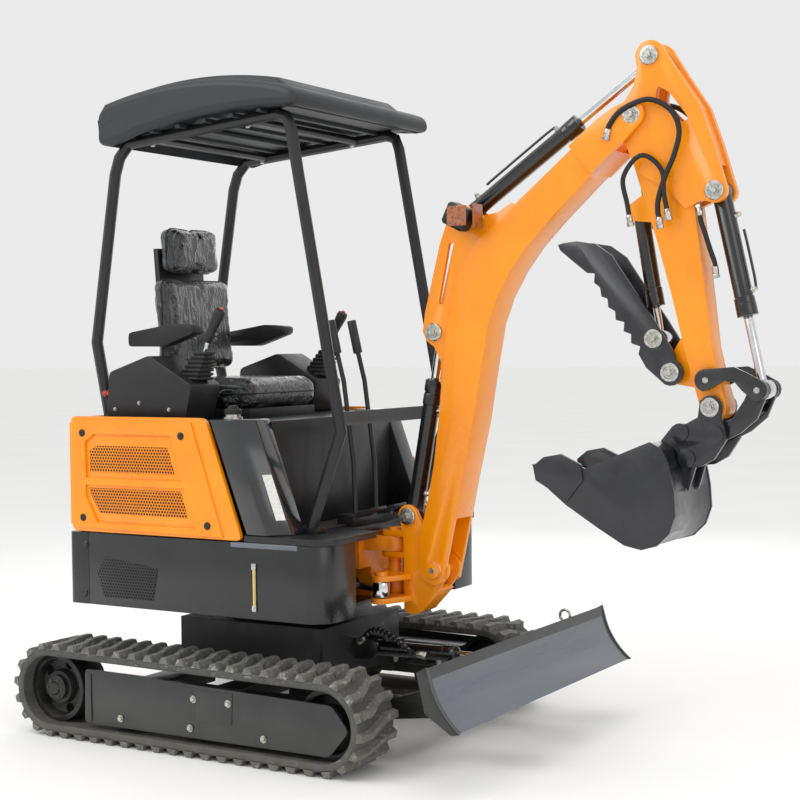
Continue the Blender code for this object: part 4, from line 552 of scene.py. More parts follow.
def setStudio():
    studio = {"key": ((-2.4, -3.6, 4.6), 3.2, 105), "front": ((4.2, -2.2, 2.4), 2.6, 26),
              "top": ((0.3, 0.6, 5.2), 4.0, 42), "back": ((-1.5, 4.5, 2.8), 3.0, 26)}
    for name, (place, size, power) in studio.items():
        deselect()
        bpy.ops.object.light_add(type="AREA", location=place)
        light = bpy.context.object
        light.name = name + "Light"
        light.data.size = size
        light.data.energy = power
        light.rotation_euler = (Vector((0, 0, 0.9)) - Vector(place)).to_track_quat("-Z", "Y").to_euler()
    world = bpy.data.worlds.new("studioWorld")
    world.use_nodes = True
    bpy.context.scene.world = world
    tree = world.node_tree
    place = addNode(tree, "ShaderNodeTexCoord").outputs["Generated"]
    height = addNode(tree, "ShaderNodeSeparateXYZ", {"Vector": place}).outputs["Z"]
    lift = addNode(tree, "ShaderNodeMapRange", {"Value": height, "From Min": -1.0}).outputs[0]
    sky = ramp(tree, lift, [(0.0, paint("#CFCFCF")), (0.5, paint("#F6F6F6")), (1.0, paint("#F6F6F6"))])
    tree.links.new(sky, tree.nodes["Background"].inputs["Color"])
    tree.nodes["Background"].inputs["Strength"].default_value = 0.90
    deselect()
    bpy.ops.mesh.primitive_plane_add(size=160, location=(0, 0, cadBox[0][2] - 0.001))
    floor = rename("studioFloor")
    floor.data.materials.append(surface("paleFloor", ("#FAFAF8", "#FDFDFC"), 1.0, grainMm=8, grain=0.0,
                                        mottleMm=900))
    bpy.context.scene.view_settings.view_transform = "Standard"  # keeps the orange clean


setCamera()
setStudio()
print("camera, light and floor set")


# sheet metal and castings that keep the frame's own shape

plainNodes = {
    "boom": (orangeEnamel, 0.0030), "arm": (orangeEnamel, 0.0025),
    "right_side_panel": (orangeEnamel, 0.0060), "left_side_panel": (orangeEnamel, 0.0060),
    "engine_door": (orangeEnamel, 0.0040), "swing_bracket": (orangeEnamel, 0.0022),
    "swing_post": (castingEnamel, 0.0022),
    "right_skirt": (charcoalPowder, 0.0025), "left_skirt": (charcoalPowder, 0.0025),
    "counterweight": (charcoalPowder, 0.0060), "house_frame": (charcoalPowder, 0.0015),
    "right_cover": (coverGloss, 0.0050), "left_cover": (coverGloss, 0.0050),
    "seat_deck": (satinPowder, 0.0020), "engine_block": (underSteel, 0.0050),
    "seat_frame": (mouldedBlack, 0.0020), "floor_plate": (satinPowder, 0.0015),
    "canopy_frame": (satinPowder, 0.0004),
    "right_console": (mouldedBlack, 0.0030), "left_console": (mouldedBlack, 0.0030),
    "travel_levers": (satinPowder, 0.0010), "work_light": (mouldedBlack, 0.0020),
    "bucket_rocker": (blackEnamel, 0.0020), "bucket_link": (blackEnamel, 0.0020),
    "quick_hitch": (workedEnamel, 0.0022), "bucket": (workedEnamel, 0.0018),
    "thumb": (workedEnamel, 0.0020), "dozer_blade": (bladeBand, 0.0020),
    "undercarriage_frame": (underSteel, 0.0030), "slew_ring": (underSteel, 0.0020),
    "track_frame_right": (greyEnamel, 0.0018), "track_frame_left": (greyEnamel, 0.0018),
    "sprocket_right": (underSteel, 0.0015), "sprocket_left": (underSteel, 0.0015),
    "idler_right": (underSteel, 0.0015), "idler_left": (underSteel, 0.0015)}
for nodeName, (look, edge) in plainNodes.items():
    refine(nodeName, look, edge)
print("plates and castings refined")


# hydraulic rams: the frame's barrels and rods with eased edges, and turned glands and ports with feed pipes

rams = {  # length between pins, barrel length, barrel radius, rod radius, eye half width
    "boom": (0.5851, 0.395, 0.0265, 0.0145, 0.027), "arm": (0.7607, 0.455, 0.0260, 0.0135, 0.0245),
    "bucket": (0.5704, 0.345, 0.0270, 0.0135, 0.0255), "thumb": (0.3720, 0.262, 0.0235, 0.0110, 0.0235),
    "blade": (0.4750, 0.290, 0.0240, 0.0130, 0.0240), "swing": (0.4302, 0.270, 0.0225, 0.0110, 0.0225)}
for tag in rams:
    refine(tag + "_cylinder_barrel", blackEnamel, 0.0012)
    refine(tag + "_cylinder_rod", hardChrome, 0.0004)


def ramEnd(tag):
    start = Vector(joints[tag + "_cylinder_pivot"]["pos_m"])
    along = Vector(joints[tag + "_cylinder_stroke"]["axis"]).normalized()
    return start, along, start + along * rams[tag][0]


def ramDetails(tag):
    # gland collar, ports with zinc elbows and the feed pipe lying along the barrel
    start, along, _ = ramEnd(tag)
    _, barrel, radius, rod, _ = rams[tag]
    side = Vector((0, -1, 0)) if abs(along.y) < 0.2 else Vector((0, 0, 1))
    across = along.cross(side).normalized()
    body = tag + "_cylinder_barrel"
    lift = across if across.z > 0 or tag == "bucket" else -across
    if tag in ("boom", "bucket", "blade"):
        lift = -lift
    nose = start + along * (barrel - 0.012)
    turned(tag + "Gland", [(radius + 0.0002, -0.028), (radius + 0.0022, -0.026), (radius + 0.0022, 0.004),
                           (radius + 0.0005, 0.0075), (rod + 0.0018, 0.0085), (rod + 0.0018, 0.0005),
                           (radius + 0.0002, -0.004), (radius + 0.0002, -0.028)],
           nose, along, blackEnamel, body, 36)
    if tag in ("swing", "thumb"):  # no room beside these two for a pipe
        return
    far = start + along * (barrel - 0.055) + lift * (radius + 0.002)
    near = start + along * 0.075 + lift * (radius + 0.002)
    for end, spot in (("Near", near), ("Far", far)):
        turned(tag + "Port" + end, [(0, 0.013), (0.0065, 0.013), (0.0075, 0.011), (0.0075, 0.004),
                                    (0.0095, 0.003), (0.0095, -0.006)], spot, lift, zincPlate, body, 6)
    pipe = [far + lift * 0.010, far + lift * 0.013 - along * 0.03,
            near + lift * 0.013 + along * 0.09, near + lift * 0.012 + along * 0.045]
    tube(tag + "FeedPipe", pipe, 0.0042, blackEnamel, body, 8)


for tag in rams:
    ramDetails(tag)
print("rams made")


# pins and bolts

def boltModel():  # one hexagon bolt on a washer, 10 mm high, 20 mm across
    deselect()
    bpy.ops.mesh.primitive_cylinder_add(vertices=6, radius=0.0085, depth=0.007, location=(0, 0, 0.0055))
    head = rename("boltHead")
    editAll()
    bpy.ops.mesh.bevel(offset=0.0009, segments=1, affect="EDGES")
    bpy.ops.object.mode_set(mode="OBJECT")
    deselect()
    bpy.ops.mesh.primitive_cylinder_add(vertices=18, radius=0.0118, depth=0.0024, location=(0, 0, 0.001))
    washer = rename("boltWasher")
    deselect()
    head.select_set(True)
    washer.select_set(True)
    bpy.context.view_layer.objects.active = head
    bpy.ops.object.join()
    settle(head)
    return head


bolt = boltModel()


def faceAt(nodeName, spot, reach=0.027):  # how far the node stands out sideways round a pin
    outs = [abs(v.co.y) for v in nodes[nodeName].data.vertices
            if math.hypot(v.co.x - spot[0], v.co.z - spot[2]) < reach]
    return max(outs)


def pinHeads():
    pins = {"boomFoot": ("boom", joints["boom_lift"]["pos_m"]),
            "boomRamBase": ("swing_bracket", joints["boom_cylinder_pivot"]["pos_m"]),
            "boomRamEye": ("boom", ramEnd("boom")[2]),
            "armRamBase": ("boom", joints["arm_cylinder_pivot"]["pos_m"]),
            "armRamEye": ("arm", ramEnd("arm")[2]),
            "armPivot": ("boom", joints["arm_crowd"]["pos_m"]),
            "bucketRamBase": ("arm", joints["bucket_cylinder_pivot"]["pos_m"]),
            "thumbRamBase": ("arm", joints["thumb_cylinder_pivot"]["pos_m"]),
            "thumbPivot": ("thumb", joints["thumb_open"]["pos_m"]),
            "thumbRamEye": ("thumb", ramEnd("thumb")[2]),
            "rockerPivot": ("bucket_rocker", joints["rocker_pivot"]["pos_m"]),
            "rockerEye": ("bucket_rocker", ramEnd("bucket")[2]),
            "bucketPivot": ("quick_hitch", joints["bucket_curl"]["pos_m"])}
    for name, (nodeName, spot) in pins.items():
        out = faceAt(nodeName, spot)
        for side, word in bothSides:
            base = Vector((spot[0], side * (out - 0.0085), spot[2]))
            turned(name + "Head" + word, [(0.0275, 0), (0.0275, 0.0078), (0.0255, 0.0098),
                                          (0.0175, 0.0102), (0.0165, 0.0092), (0, 0.0092)],
                   base, (0, side, 0), zincPlate, bodyOf[nodeName], 28)
            scatter(name + "Bolt" + word, bolt,
                    [((spot[0], side * (out + 0.0003), spot[2]), (0, side, 0), 1.25)],
                    zincPlate, bodyOf[nodeName])


pinHeads()
print("pins and bolts made")


# tracks: a belt with two staggered rows of dogleg lugs

track = {"rear": (-1.0178, 0.149), "front": (0.0222, 0.145),  # x and radius of each end
         "inner": 0.385, "outer": 0.589,
         "lugHeight": 0.0178, "belt": 0.022, "lugs": 48, "beltSteps": 192, "lugSteps": 16, "loop": 3.005}


def trackLine(count):  # points at the lug tops and outward directions round the loop
    (rx, rr), (fx, fr) = track["rear"], track["front"]
    run = fx - rx
    lengths = [run, math.pi * fr, run, math.pi * rr]
    total = sum(lengths)
    spots = []
    for i in range(count):
        s = total * i / count
        if s < lengths[0]:
            t = s / run
            centre, angle, radius = (rx + run * t, rr + (fr - rr) * t), -90.0, rr + (fr - rr) * t
        elif s < lengths[0] + lengths[1]:
            centre, radius = (fx, fr), fr
            angle = -90 + 180 * (s - lengths[0]) / lengths[1]
        elif s < total - lengths[3]:
            t = (s - lengths[0] - lengths[1]) / run
            centre, angle, radius = (fx - run * t, fr + (rr - fr) * t), 90.0, fr + (rr - fr) * t
        else:
            centre, radius = (rx, rr), rr
            angle = 90 + 180 * (s - total + lengths[3]) / lengths[3]
        out = Vector((math.cos(math.radians(angle)), 0, math.sin(math.radians(angle))))
        spots.append((Vector((centre[0], 0, centre[1])) + out * radius, out))
    return spots


def makeMesh(name, verts, faces, look, body, angle=35, *nodeNames):
    mesh = bpy.data.meshes.new(name)
    mesh.from_pydata(verts, [], faces)
    piece = bpy.data.objects.new(name, mesh)
    bpy.context.scene.collection.objects.link(piece)
    takeUp(piece)
    editAll()
    bpy.ops.mesh.normals_make_consistent(inside=False)
    bpy.ops.object.mode_set(mode="OBJECT")
    settle(piece, angle)
    return hand(piece, look, body, *nodeNames)


def makeTrack(side, word):
    low, high, lug, belt = track["inner"], track["outer"], track["lugHeight"], track["belt"]
    profile = [(low + 0.004, lug + belt), (low, lug + belt - 0.006), (low, lug + 0.006),
               (low + 0.004, lug), (high - 0.004, lug), (high, lug + 0.006),
               (high, lug + belt - 0.006), (high - 0.004, lug + belt)]
    count = track["beltSteps"]
    line = trackLine(count)
    verts = [point - out * depth + Vector((0, side * y, 0)) for point, out in line for y, depth in profile]
    size = len(profile)
    faces = [(i * size + k, i * size + (k + 1) % size, (i + 1) % count * size + (k + 1) % size,
              (i + 1) % count * size + k) for i in range(count) for k in range(size)]
    makeMesh("track" + word + "Belt", verts, faces, trackRubber, "undercarriage", 30,
             "track_" + word.lower())
    # each lug in plan: (along, across from its own edge), then lifted and narrowed
    plan = [(-0.018, 0.0), (0.014, 0.0), (0.014, 0.058), (0.034, 0.104), (0.006, 0.108), (-0.018, 0.064)]
    steps = track["lugSteps"]
    fine = trackLine(track["lugs"] * steps)
    pitch = track["loop"] / (track["lugs"] * steps)
    for row in (0, 1):
        verts, faces = [], []
        for k in range(track["lugs"]):
            base = len(verts)
            for level in (0, 1):
                for s, w in plan:
                    across = low + w if row else high - w
                    middle = 0.011 * max(0.0, (w - 0.058) / 0.046) - 0.002
                    s = s if level == 0 else middle + (s - middle) * 0.62
                    s = -s if row else s
                    index = (k * steps + row * steps // 2 + round(s / pitch)) % len(fine)
                    point, out = fine[index]
                    if level and w == 0.0:
                        across += 0.003 if row else -0.003
                    depth = lug + 0.001 if level == 0 else 0.0004
                    verts.append(point - out * depth + Vector((0, side * across, 0)))
            n = len(plan)
            faces.append(tuple(range(base + n, base + 2 * n)))
            faces.append(tuple(range(base + n - 1, base - 1, -1)))
            for j in range(n):
                faces.append((base + j, base + (j + 1) % n, base + n + (j + 1) % n, base + n + j))
        makeMesh("track" + word + "Lugs" + ("Inner" if row else "Outer"), verts, faces, lugRubber,
                 "undercarriage", 20)


guard = {"face": 0.571, "cover": [(-0.436, 0.204), (-0.297, 0.206), (-0.301, 0.112), (-0.434, 0.110)],
         "bolts": [(-0.730, 0.086), (-0.443, 0.176), (-0.313, 0.176), (-0.457, 0.087), (-0.185, 0.085)],
         "hubBolts": 6, "hubRing": 0.0285}


for side, word in bothSides:
    makeTrack(side, word)
    face = side * guard["face"]
    sheetOf("guardCover" + word, guard["cover"], face, face + side * 0.0022, greyEnamel,
            "undercarriage", 0.0008)
    bar("guardFold" + word, (-0.8545, min(face, face + side * 0.003), 0.066),
        (-0.8490, max(face, face + side * 0.003), 0.214), greyEnamel, "undercarriage", 0.001)
    scatter("guardBolts" + word, bolt, [((x, face + side * 0.0015, z), (0, side, 0), 0.95)
                                        for x, z in guard["bolts"]], zincPlate, "undercarriage")
    for name, (cx, cz) in (("hub", track["rear"]), ("idler", track["front"])):
        turned(name + "Cap" + word, [(0.040, 0), (0.040, 0.012), (0.034, 0.016), (0.022, 0.016),
                                     (0.018, 0.022), (0, 0.022)],
               (cx, side * 0.540, cz), (0, side, 0), underSteel, "undercarriage", 32)
        turns = [math.tau * k / guard["hubBolts"] for k in range(guard["hubBolts"])]
        ring = [((cx + guard["hubRing"] * math.cos(a), side * 0.5555, cz + guard["hubRing"] * math.sin(a)),
                 (0, side, 0), 0.5) for a in turns]
        scatter(name + "Bolts" + word, bolt, ring, greyEnamel, "undercarriage")
print("tracks made")


# side panels, skirts and their fittings

panel = {"face": 0.480, "raise": 0.0065,
         "outline": [(-0.992, 0.662), (-0.390, 0.657), (-0.508, 1.006), (-0.984, 1.010)],
         "fields": [[(-0.900, 0.962), (-0.588, 0.962), (-0.541, 0.822), (-0.934, 0.822), (-0.936, 0.938)],
                    [(-0.936, 0.800), (-0.536, 0.800), (-0.492, 0.680), (-0.890, 0.680), (-0.936, 0.763)]],
         "grilles": [[(-0.893, 0.925), (-0.603, 0.925), (-0.576, 0.841), (-0.920, 0.841), (-0.920, 0.908)],
                     [(-0.922, 0.790), (-0.553, 0.790), (-0.526, 0.709), (-0.882, 0.711), (-0.922, 0.776)]],
         "plugs": [(-0.946, 0.965), (-0.545, 0.962), (-0.947, 0.694), (-0.447, 0.690)],
         "skirtPlugs": [(-0.947, 0.605), (-0.951, 0.450)],
         "skirtGrille": [(-0.865, 0.572), (-0.649, 0.546), (-0.668, 0.444), (-0.868, 0.442), (-0.898, 0.519)]}


def cutBy(piece, cutter):
    modify(piece, "BOOLEAN", operation="DIFFERENCE", object=cutter, solver="EXACT")
    bpy.data.objects.remove(cutter)


# the cover's front facet: x and depth of its rear and front edge, then the height
facet = {"head": ((-0.362, 0.472), (-0.311, 0.419), 1.014), "foot": ((-0.238, 0.472), (-0.183, 0.415), 0.666),
         "bar": [(0.55, 0.48), (0.93, 0.48), (0.93, 0.87), (0.55, 0.87)], "thick": 0.0045}


def facetPoint(side, across, down, out):
    edges = []
    for rear, front, height in (facet["head"], facet["foot"]):
        edges.append(Vector((rear[0] + (front[0] - rear[0]) * across,
                             side * (rear[1] + (front[1] - rear[1]) * across), height)))
    return edges[0].lerp(edges[1], down) + Vector((0.698, side * 0.672, 0.249)) * out


def makePanel(side, word):
    face = side * panel["face"]
    body = bodyOf["right_side_panel"]
    skin = sheetOf("panelPress" + word, panel["outline"], face - side * 0.002, face + side * panel["raise"],
                   orangeEnamel, body, 0)
    for field in panel["fields"]:
        cutter = sheetOf("cutter", field, face - side * 0.010, face + side * 0.020, orangeEnamel, body, 0)
        cutBy(skin, cutter)
    modify(skin, "BEVEL", width=0.0050, segments=4, limit_method="ANGLE", angle_limit=math.radians(28))
    settle(skin)
    for number, grille in enumerate(panel["grilles"]):
        sheetOf("panelGrille" + word + str(number), grille, face - side * 0.001, face + side * 0.0012,
                orangeMesh, body, 0.0005)
    sheetOf("skirtGrille" + word, panel["skirtGrille"], face - side * 0.001, face + side * 0.0012,
            charcoalMesh, body, 0.0005)
    profile = [(0.0118, 0), (0.0118, 0.0022), (0.0095, 0.0042), (0.0070, 0.0042), (0.0062, 0.0034),
               (0, 0.0034)]
    for number, (x, z) in enumerate(panel["plugs"]):
        turned("panelPlug" + word + str(number), profile, (x, face + side * panel["raise"], z),
               (0, side, 0), mouldedBlack, body, 24)
    for number, (x, z) in enumerate(panel["skirtPlugs"]):
        turned("skirtPlug" + word + str(number), profile, (x, face, z), (0, side, 0), charcoalPowder,
               body, 24)
    ledge = sorted((face + side * 0.0015, face - side * 0.010))
    bar("skirtLedge" + word, (-0.366, ledge[0], 0.629), (-0.120, ledge[1], 0.6455), bladeSteel, body, 0.004)
    # level tube in its slot between two bright end blocks; the slot is a flat dark plate of painted shade
    flat = sorted((face - side * 0.001, face + side * 0.0012))
    bar("levelSlot" + word, (-0.2870, flat[0], 0.440), (-0.2680, flat[1], 0.584), darkHole, body, 0.0005)
    tube("levelTube" + word, [(-0.2775, face + side * 0.001, 0.458), (-0.2775, face + side * 0.001, 0.566)],
         0.0055, sightYellow, body, 16)
    for number, z in enumerate((0.449, 0.575)):
        ends = sorted((face - side * 0.001, face + side * 0.0065))
        bar("levelEnd" + word + str(number), (-0.2858, ends[0], z - 0.010), (-0.2692, ends[1], z + 0.010),
            zincPlate, body, 0.003)
    # bright bar low on the cover's slanted front facet
    corners = [facetPoint(side, across, down, out) for out in (0.0, facet["thick"])
               for across, down in facet["bar"]]
    makeMesh("coverBar" + word, corners, [(0, 1, 2, 3), (4, 5, 6, 7), (0, 1, 5, 4), (1, 2, 6, 5),
                                          (2, 3, 7, 6), (3, 0, 4, 7)], zincPlate, body)


for side, word in bothSides:
    makePanel(side, word)
filler = (-0.405, -0.405, 1.0135)
turned("fillerNeck", [(0.030, 0), (0.030, 0.006), (0.024, 0.008), (0.024, 0.016), (0, 0.016)],
       filler, (0, 0, 1), zincPlate, bodyOf["right_cover"], 32)
turned("fillerCap", [(0.026, 0.014), (0.027, 0.018), (0.027, 0.028), (0.024, 0.031), (0.017, 0.031),
                     (0.015, 0.040), (0.006, 0.042), (0, 0.042)],
       filler, (0, 0, 1), mouldedBlack, bodyOf["right_cover"], 32)
turned("panelLatch", [(0.007, 0), (0.007, 0.016), (0.010, 0.020), (0.010, 0.030), (0.006, 0.034), (0, 0.034)],
       (-0.930, -0.360, 1.085), (-1, 0, 0.1), redKnob, bodyOf["right_console"], 20)
print("panels made")


# moulded roof: rim shell with a raised crown

roof = {"half": 0.4045, "crownHalf": 0.335,
        "top": (-0.560, 2.0615, 0.345), "crest": (-0.560, 2.0830, 0.350),  # middle, height, fall
        "topSpan": (-0.215, -0.908), "crestSpan": (-0.275, -0.870),
        "ceiling": [(-0.9130, 1.850), (-0.1850, 1.850), (-0.1850, 1.9665), (-0.8708, 1.9168),
                    (-0.9130, 1.9140)],
        "ribs": 7, "firstRib": (-0.840, 1.919033), "ribPitch": 0.105, "ribRise": 0.0725,
        "rim": [(-0.9380, 1.985), (-0.9390, 1.890),
                (-0.8900, 1.884), (-0.8300, 1.897), (-0.7600, 1.918), (-0.6500, 1.937), (-0.5300, 1.951),
                (-0.3900, 1.960), (-0.2700, 1.960), (-0.2000, 1.954), (-0.1590, 1.957),
                (-0.1670, 2.003)],
        "crown": [(-0.8950, 2.030), (-0.8800, 1.990), (-0.3000, 1.990), (-0.2300, 2.020)]}


def archOver(arch, front, rear, count):  # points of a shallow arch, front to rear
    middle, height, fall = arch
    steps = [front + (rear - front) * k / (count - 1) for k in range(count)]
    return [(x, height - fall * (x - middle) ** 2) for x in steps]


def makeRoof():
    body = bodyOf["canopy_roof"]
    half, crownHalf = roof["half"], roof["crownHalf"]
    outline = archOver(roof["top"], *roof["topSpan"], 17) + roof["rim"]
    shell = sheetOf("roofShell", outline, -half, half, rotoPlastic, body, 0, "canopy_roof")
    modify(shell, "BEVEL", width=0.022, segments=5, limit_method="ANGLE", angle_limit=math.radians(40))
    cutter = sheetOf("cutter", roof["ceiling"], -0.382, 0.382, rotoPlastic, body, 0)
    cutBy(shell, cutter)
    settle(shell, 40)
    outline = archOver(roof["crest"], *roof["crestSpan"], 15) + roof["crown"]
    crown = sheetOf("roofCrown", outline, -crownHalf, crownHalf, rotoPlastic, body, 0)
    modify(crown, "BEVEL", width=0.016, segments=5, limit_method="ANGLE", angle_limit=math.radians(40))
    settle(crown, 40)
    for side, word in bothSides:  # wedge crease at the rear corner
        face = side * half
        wedge = sheetOf("roofWedge" + word, [(-0.930, 1.968), (-0.820, 1.988), (-0.926, 1.940)],
                        face - side * 0.004, face + side * 0.0004, rotoPlastic, body, 0)
        settle(wedge)
    for number in range(roof["ribs"]):  # moulded ribs of the ceiling
        x = roof["firstRib"][0] + number * roof["ribPitch"]
        z = roof["firstRib"][1] + number * roof["ribPitch"] * roof["ribRise"]
        bar("roofRib" + str(number), (x - 0.008, -0.375, z - 0.010), (x + 0.008, 0.375, z + 0.004),
            rotoPlastic, body, 0.003)
    places = []
    for x, z in ((-0.790, 1.9055), (-0.410, 1.9352)):
        for y in (-0.30, 0.30):
            places.append(((x, y, z - 0.0125), (0, 0, -1), 0.9))
    scatter("roofBolts", bolt, places, zincPlate, body)


makeRoof()
print("roof made")


# padded seat: each pad swells from a slightly smaller copy of its own solid

pads = {"seat_cushion": ("seatCushion", cushionVinyl, 0.006, 0.0065, 0.009, 0.7),
        "seat_back": ("seatBackPad", backVinyl, 0.005, 0.0055, 0.008, 0.7),
        "headrest": ("headrestPad", backVinyl, 0.004, 0.0050, 0.006, 0.8)}


def swell(piece, reach):  # cloth under light pressure, no point moving further than reach
    scene = bpy.context.scene
    start = [vertex.co.copy() for vertex in piece.data.vertices]
    takeUp(piece)
    cloth = piece.modifiers.new("cloth", "CLOTH")
    cloth.settings.use_pressure = True
    cloth.settings.uniform_pressure_force = 4.0
    cloth.settings.effector_weights.gravity = 0.0
    for step in range(1, 21):
        scene.frame_set(step)
    bpy.ops.object.modifier_apply(modifier=cloth.name)
    scene.frame_set(1)
    for vertex, first in zip(piece.data.vertices, start):
        move = vertex.co - first
        if move.length > reach:
            vertex.co = first + move * (reach / move.length)


def makePad(nodeName):
    name, look, shrink, voxel, reach, fill = pads[nodeName]
    piece = freshCopy(name, nodeName)
    corners = [Vector(corner) for corner in piece.bound_box]
    low, high = corners[0], corners[6]
    middle = (low + high) / 2
    for vertex in piece.data.vertices:
        for axis in range(3):
            size = high[axis] - low[axis]
            vertex.co[axis] = middle[axis] + (vertex.co[axis] - middle[axis]) * (size - 2 * shrink) / size
    modify(piece, "REMESH", mode="VOXEL", voxel_size=voxel)
    swell(piece, reach)
    modify(piece, "SUBSURF", levels=1, render_levels=1)
    settle(piece, 60)
    hand(piece, look, bodyOf[nodeName], nodeName)
    # welt cord round the edge, laid on the swollen skin
    flat = 2 if nodeName == "seat_cushion" else 0
    loop = []
    bpy.context.view_layer.update()
    for k in range(73):
        a = math.tau * k / 72
        ahead = Vector((math.cos(a), math.sin(a), 0)) if flat == 2 else Vector((0, math.cos(a), math.sin(a)))
        found, spot, _, _ = piece.ray_cast(middle + ahead * 0.6, -ahead)
        if found:
            loop.append(spot + ahead * 0.0004)
    tube(name + "Welt", loop, 0.0026, mouldedBlack, bodyOf[nodeName], 8, 0.010)


for nodeName in pads:
    makePad(nodeName)
print("seat pads made")


# joysticks: square bellows, chrome stem, grip and red button

stick = {"foot": (-0.595, 1.142), "throat": (-0.553, 1.222), "grip": (-0.545, 1.252), "top": (-0.486, 1.352),
         "layers": 7, "wide": 0.043, "narrow": 0.026}


def makeJoystick(side, word):
    body = bodyOf[word.lower() + "_joystick"]
    y = side * 0.350
    layers = stick["layers"]
    for k in range(layers):
        t = k / (layers - 1)
        x = stick["foot"][0] + (stick["throat"][0] - stick["foot"][0]) * t
        z = stick["foot"][1] + (stick["throat"][1] - stick["foot"][1]) * t - 0.006
        half = stick["wide"] + (stick["narrow"] - stick["wide"]) * t
        bar("bellowsFold" + word + str(k), (x - half, y - half, z - 0.0050),
                          (x + half, y + half, z + 0.0050), softRubber, body, 0.0045)
        core = half - 0.007
        if k < layers - 1:
            bar("bellowsNeck" + word + str(k), (x - core, y - core, z), (x + core, y + core, z + 0.014),
                softRubber, body, 0.002)
    low = Vector((stick["throat"][0], y, stick["throat"][1] - 0.004))
    grip = Vector((stick["grip"][0], y, stick["grip"][1]))
    top = Vector((stick["top"][0], y, stick["top"][1]))
    tube("stickStem" + word, [low, grip.lerp(top, 0.1)], 0.0058, hardChrome, body, 16)
    long = (top - grip).length
    profile = [(0, 0), (0.0110, 0), (0.0140, 0.004), (0.0150, 0.020), (0.0142, 0.040), (0.0156, 0.062),
               (0.0182, long - 0.030), (0.0190, long - 0.014), (0.0160, long - 0.003), (0.008, long),
               (0, long)]
    turned("stickGrip" + word, profile, grip, top - grip, mouldedBlack, body, 32)
    turned("stickButton" + word, [(0.0066, -0.002), (0.0066, 0.0030), (0.0045, 0.0048), (0, 0.0052)],
           top, top - grip, redKnob, body, 20)
    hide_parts(word.lower() + "_joystick")


for side, word in bothSides:
    makeJoystick(side, word)
bar("floorMat", (-0.480, -0.285, 0.6655), (-0.180, 0.285, 0.6695), footMat, bodyOf["floor_plate"], 0.002)
for side, word in bothSides:  # cover screws of the consoles
    scatter("consoleScrews" + word, bolt,
            [((x, side * 0.4245, z), (0, side, 0), 0.55)
             for x, z in ((-0.860, 1.040), (-0.760, 1.060), (-0.640, 1.040))],
            zincPlate, bodyOf[word.lower() + "_console"])
print("controls made")


# hoses with crimped ends; one that crosses a joint is left on neither body, while its two ends ride with their own
# bodies

def hose(name, points, radius, first, second=None, look=softRubber):
    points = [Vector(point) for point in points]
    piece = tube(name, points, radius, look, None if second else first, 12, 0.010)
    if second:
        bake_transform(piece)
    ends = ((points[0], points[1] - points[0], first), (points[-1], points[-2] - points[-1], second or first))
    for number, (spot, ahead, body) in enumerate(ends):
        crimp = [(0, -0.004), (radius + 0.0010, -0.004), (radius + 0.0022, -0.002), (radius + 0.0022, 0.016),
                 (radius + 0.0004, 0.019)]
        nut = [(0, -0.014), (radius + 0.0032, -0.014), (radius + 0.0040, -0.012), (radius + 0.0040, -0.004),
               (radius + 0.0030, -0.003), (0, -0.003)]
        turned(name + "Crimp" + str(number), crimp, spot, ahead, zincPlate, body, 16)
        turned(name + "Nut" + str(number), nut, spot, ahead, zincPlate, body, 6)


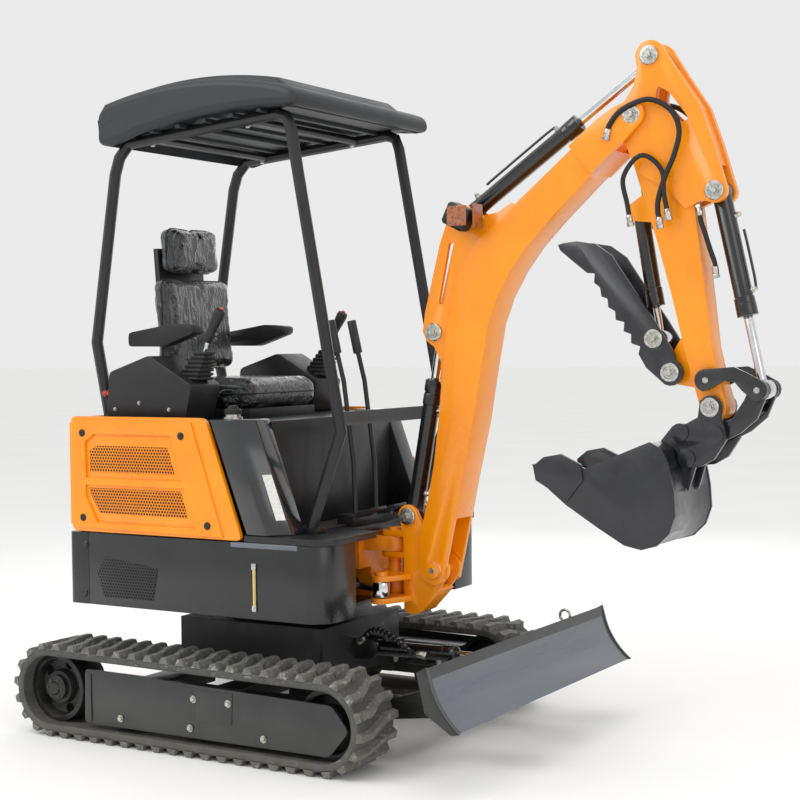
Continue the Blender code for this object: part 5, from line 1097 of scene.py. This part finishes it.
boom, arm = bodyOf["boom"], bodyOf["arm"]
for side, word in bothSides:
    y = side * 0.076
    hose("elbowHose" + word, [(0.699, y, 1.828), (0.706, y, 1.855), (0.744, y, 1.896), (0.825, y, 1.920),
                              (0.892, y, 1.886), (0.918, y, 1.827), (0.903, y, 1.759), (0.875, y, 1.698),
                              (0.853, y, 1.625), (0.859, y, 1.567)], 0.0078, boom, arm)
    hose("thumbHose" + word, [(0.769, y, 1.578), (0.760, y, 1.630), (0.748, y, 1.701), (0.786, y, 1.756),
                              (0.824, y, 1.759), (0.866, y, 1.716), (0.872, y, 1.650), (0.884, y, 1.589)],
         0.0070, arm)
hose("curlHose", [(0.963, -0.040, 1.605), (0.969, -0.044, 1.570), (0.982, -0.046, 1.535),
                  (0.996, -0.044, 1.489), (1.006, -0.038, 1.455), (1.007, -0.030, 1.426)], 0.0070, arm)
hose("bladeHose", [(-0.175, -0.050, 0.291), (-0.126, -0.052, 0.330), (-0.061, -0.050, 0.314),
                   (0.010, -0.046, 0.268), (0.045, -0.040, 0.262)], 0.0085, bodyOf["undercarriage_frame"],
     bodyOf["blade_cylinder_barrel"], braidedHose)
print("hoses made")


# lamp lens, blade face and shackle

bar("lampGlass", (0.2795, -0.116, 1.582), (0.2835, -0.056, 1.656), lampLens, bodyOf["work_light"], 0.0015)
bar("lampFace", (0.196, -0.1235, 1.590), (0.262, -0.1215, 1.650), lampLens, bodyOf["work_light"], 0.0008)


bladeReflectionField = {"half": 0.572, "low": 0.158, "high": 0.318, "behind": 0.20, "facing": 0.25}


# painted reflection: the pale field stands for the bright surroundings mirrored in the mouldboard's front
def paintBladeFace(piece):  # the pale field between the darker edges of the mouldboard
    half, low, high = bladeReflectionField["half"], bladeReflectionField["low"], bladeReflectionField["high"]
    takeUp(piece)
    bpy.ops.object.mode_set(mode="EDIT")
    for place, normal in (((0, -half, 0), (0, 1, 0)), ((0, half, 0), (0, 1, 0)),
                          ((0, 0, high), (0, 0, 1)), ((0, 0, low), (0, 0, 1))):
        bpy.ops.mesh.select_all(action="SELECT")
        bpy.ops.mesh.bisect(plane_co=place, plane_no=normal)
    bpy.ops.object.mode_set(mode="OBJECT")
    # painted reflection: the pale grey goes on forward facing faces in the middle band
    piece.data.materials.append(bladeSteel)
    for face in piece.data.polygons:
        x, y, z = face.center
        forward = x > bladeReflectionField["behind"] and face.normal.x > bladeReflectionField["facing"]
        if forward and abs(y) < half and low < z < high:
            face.material_index = 1


paintBladeFace(bpy.data.objects["dozerBladeBody"])
ringPoints = [(0.355 + 0.018 * math.cos(a), 0.350, 0.352 + 0.018 * math.sin(a))
              for a in [math.tau * k / 24 for k in range(25)]]
tube("bladeShackle", ringPoints, 0.0048, zincPlate, bodyOf["dozer_blade"], 10, 0.006)
print("lamp and blade finished")

bpy.data.objects.remove(bolt)
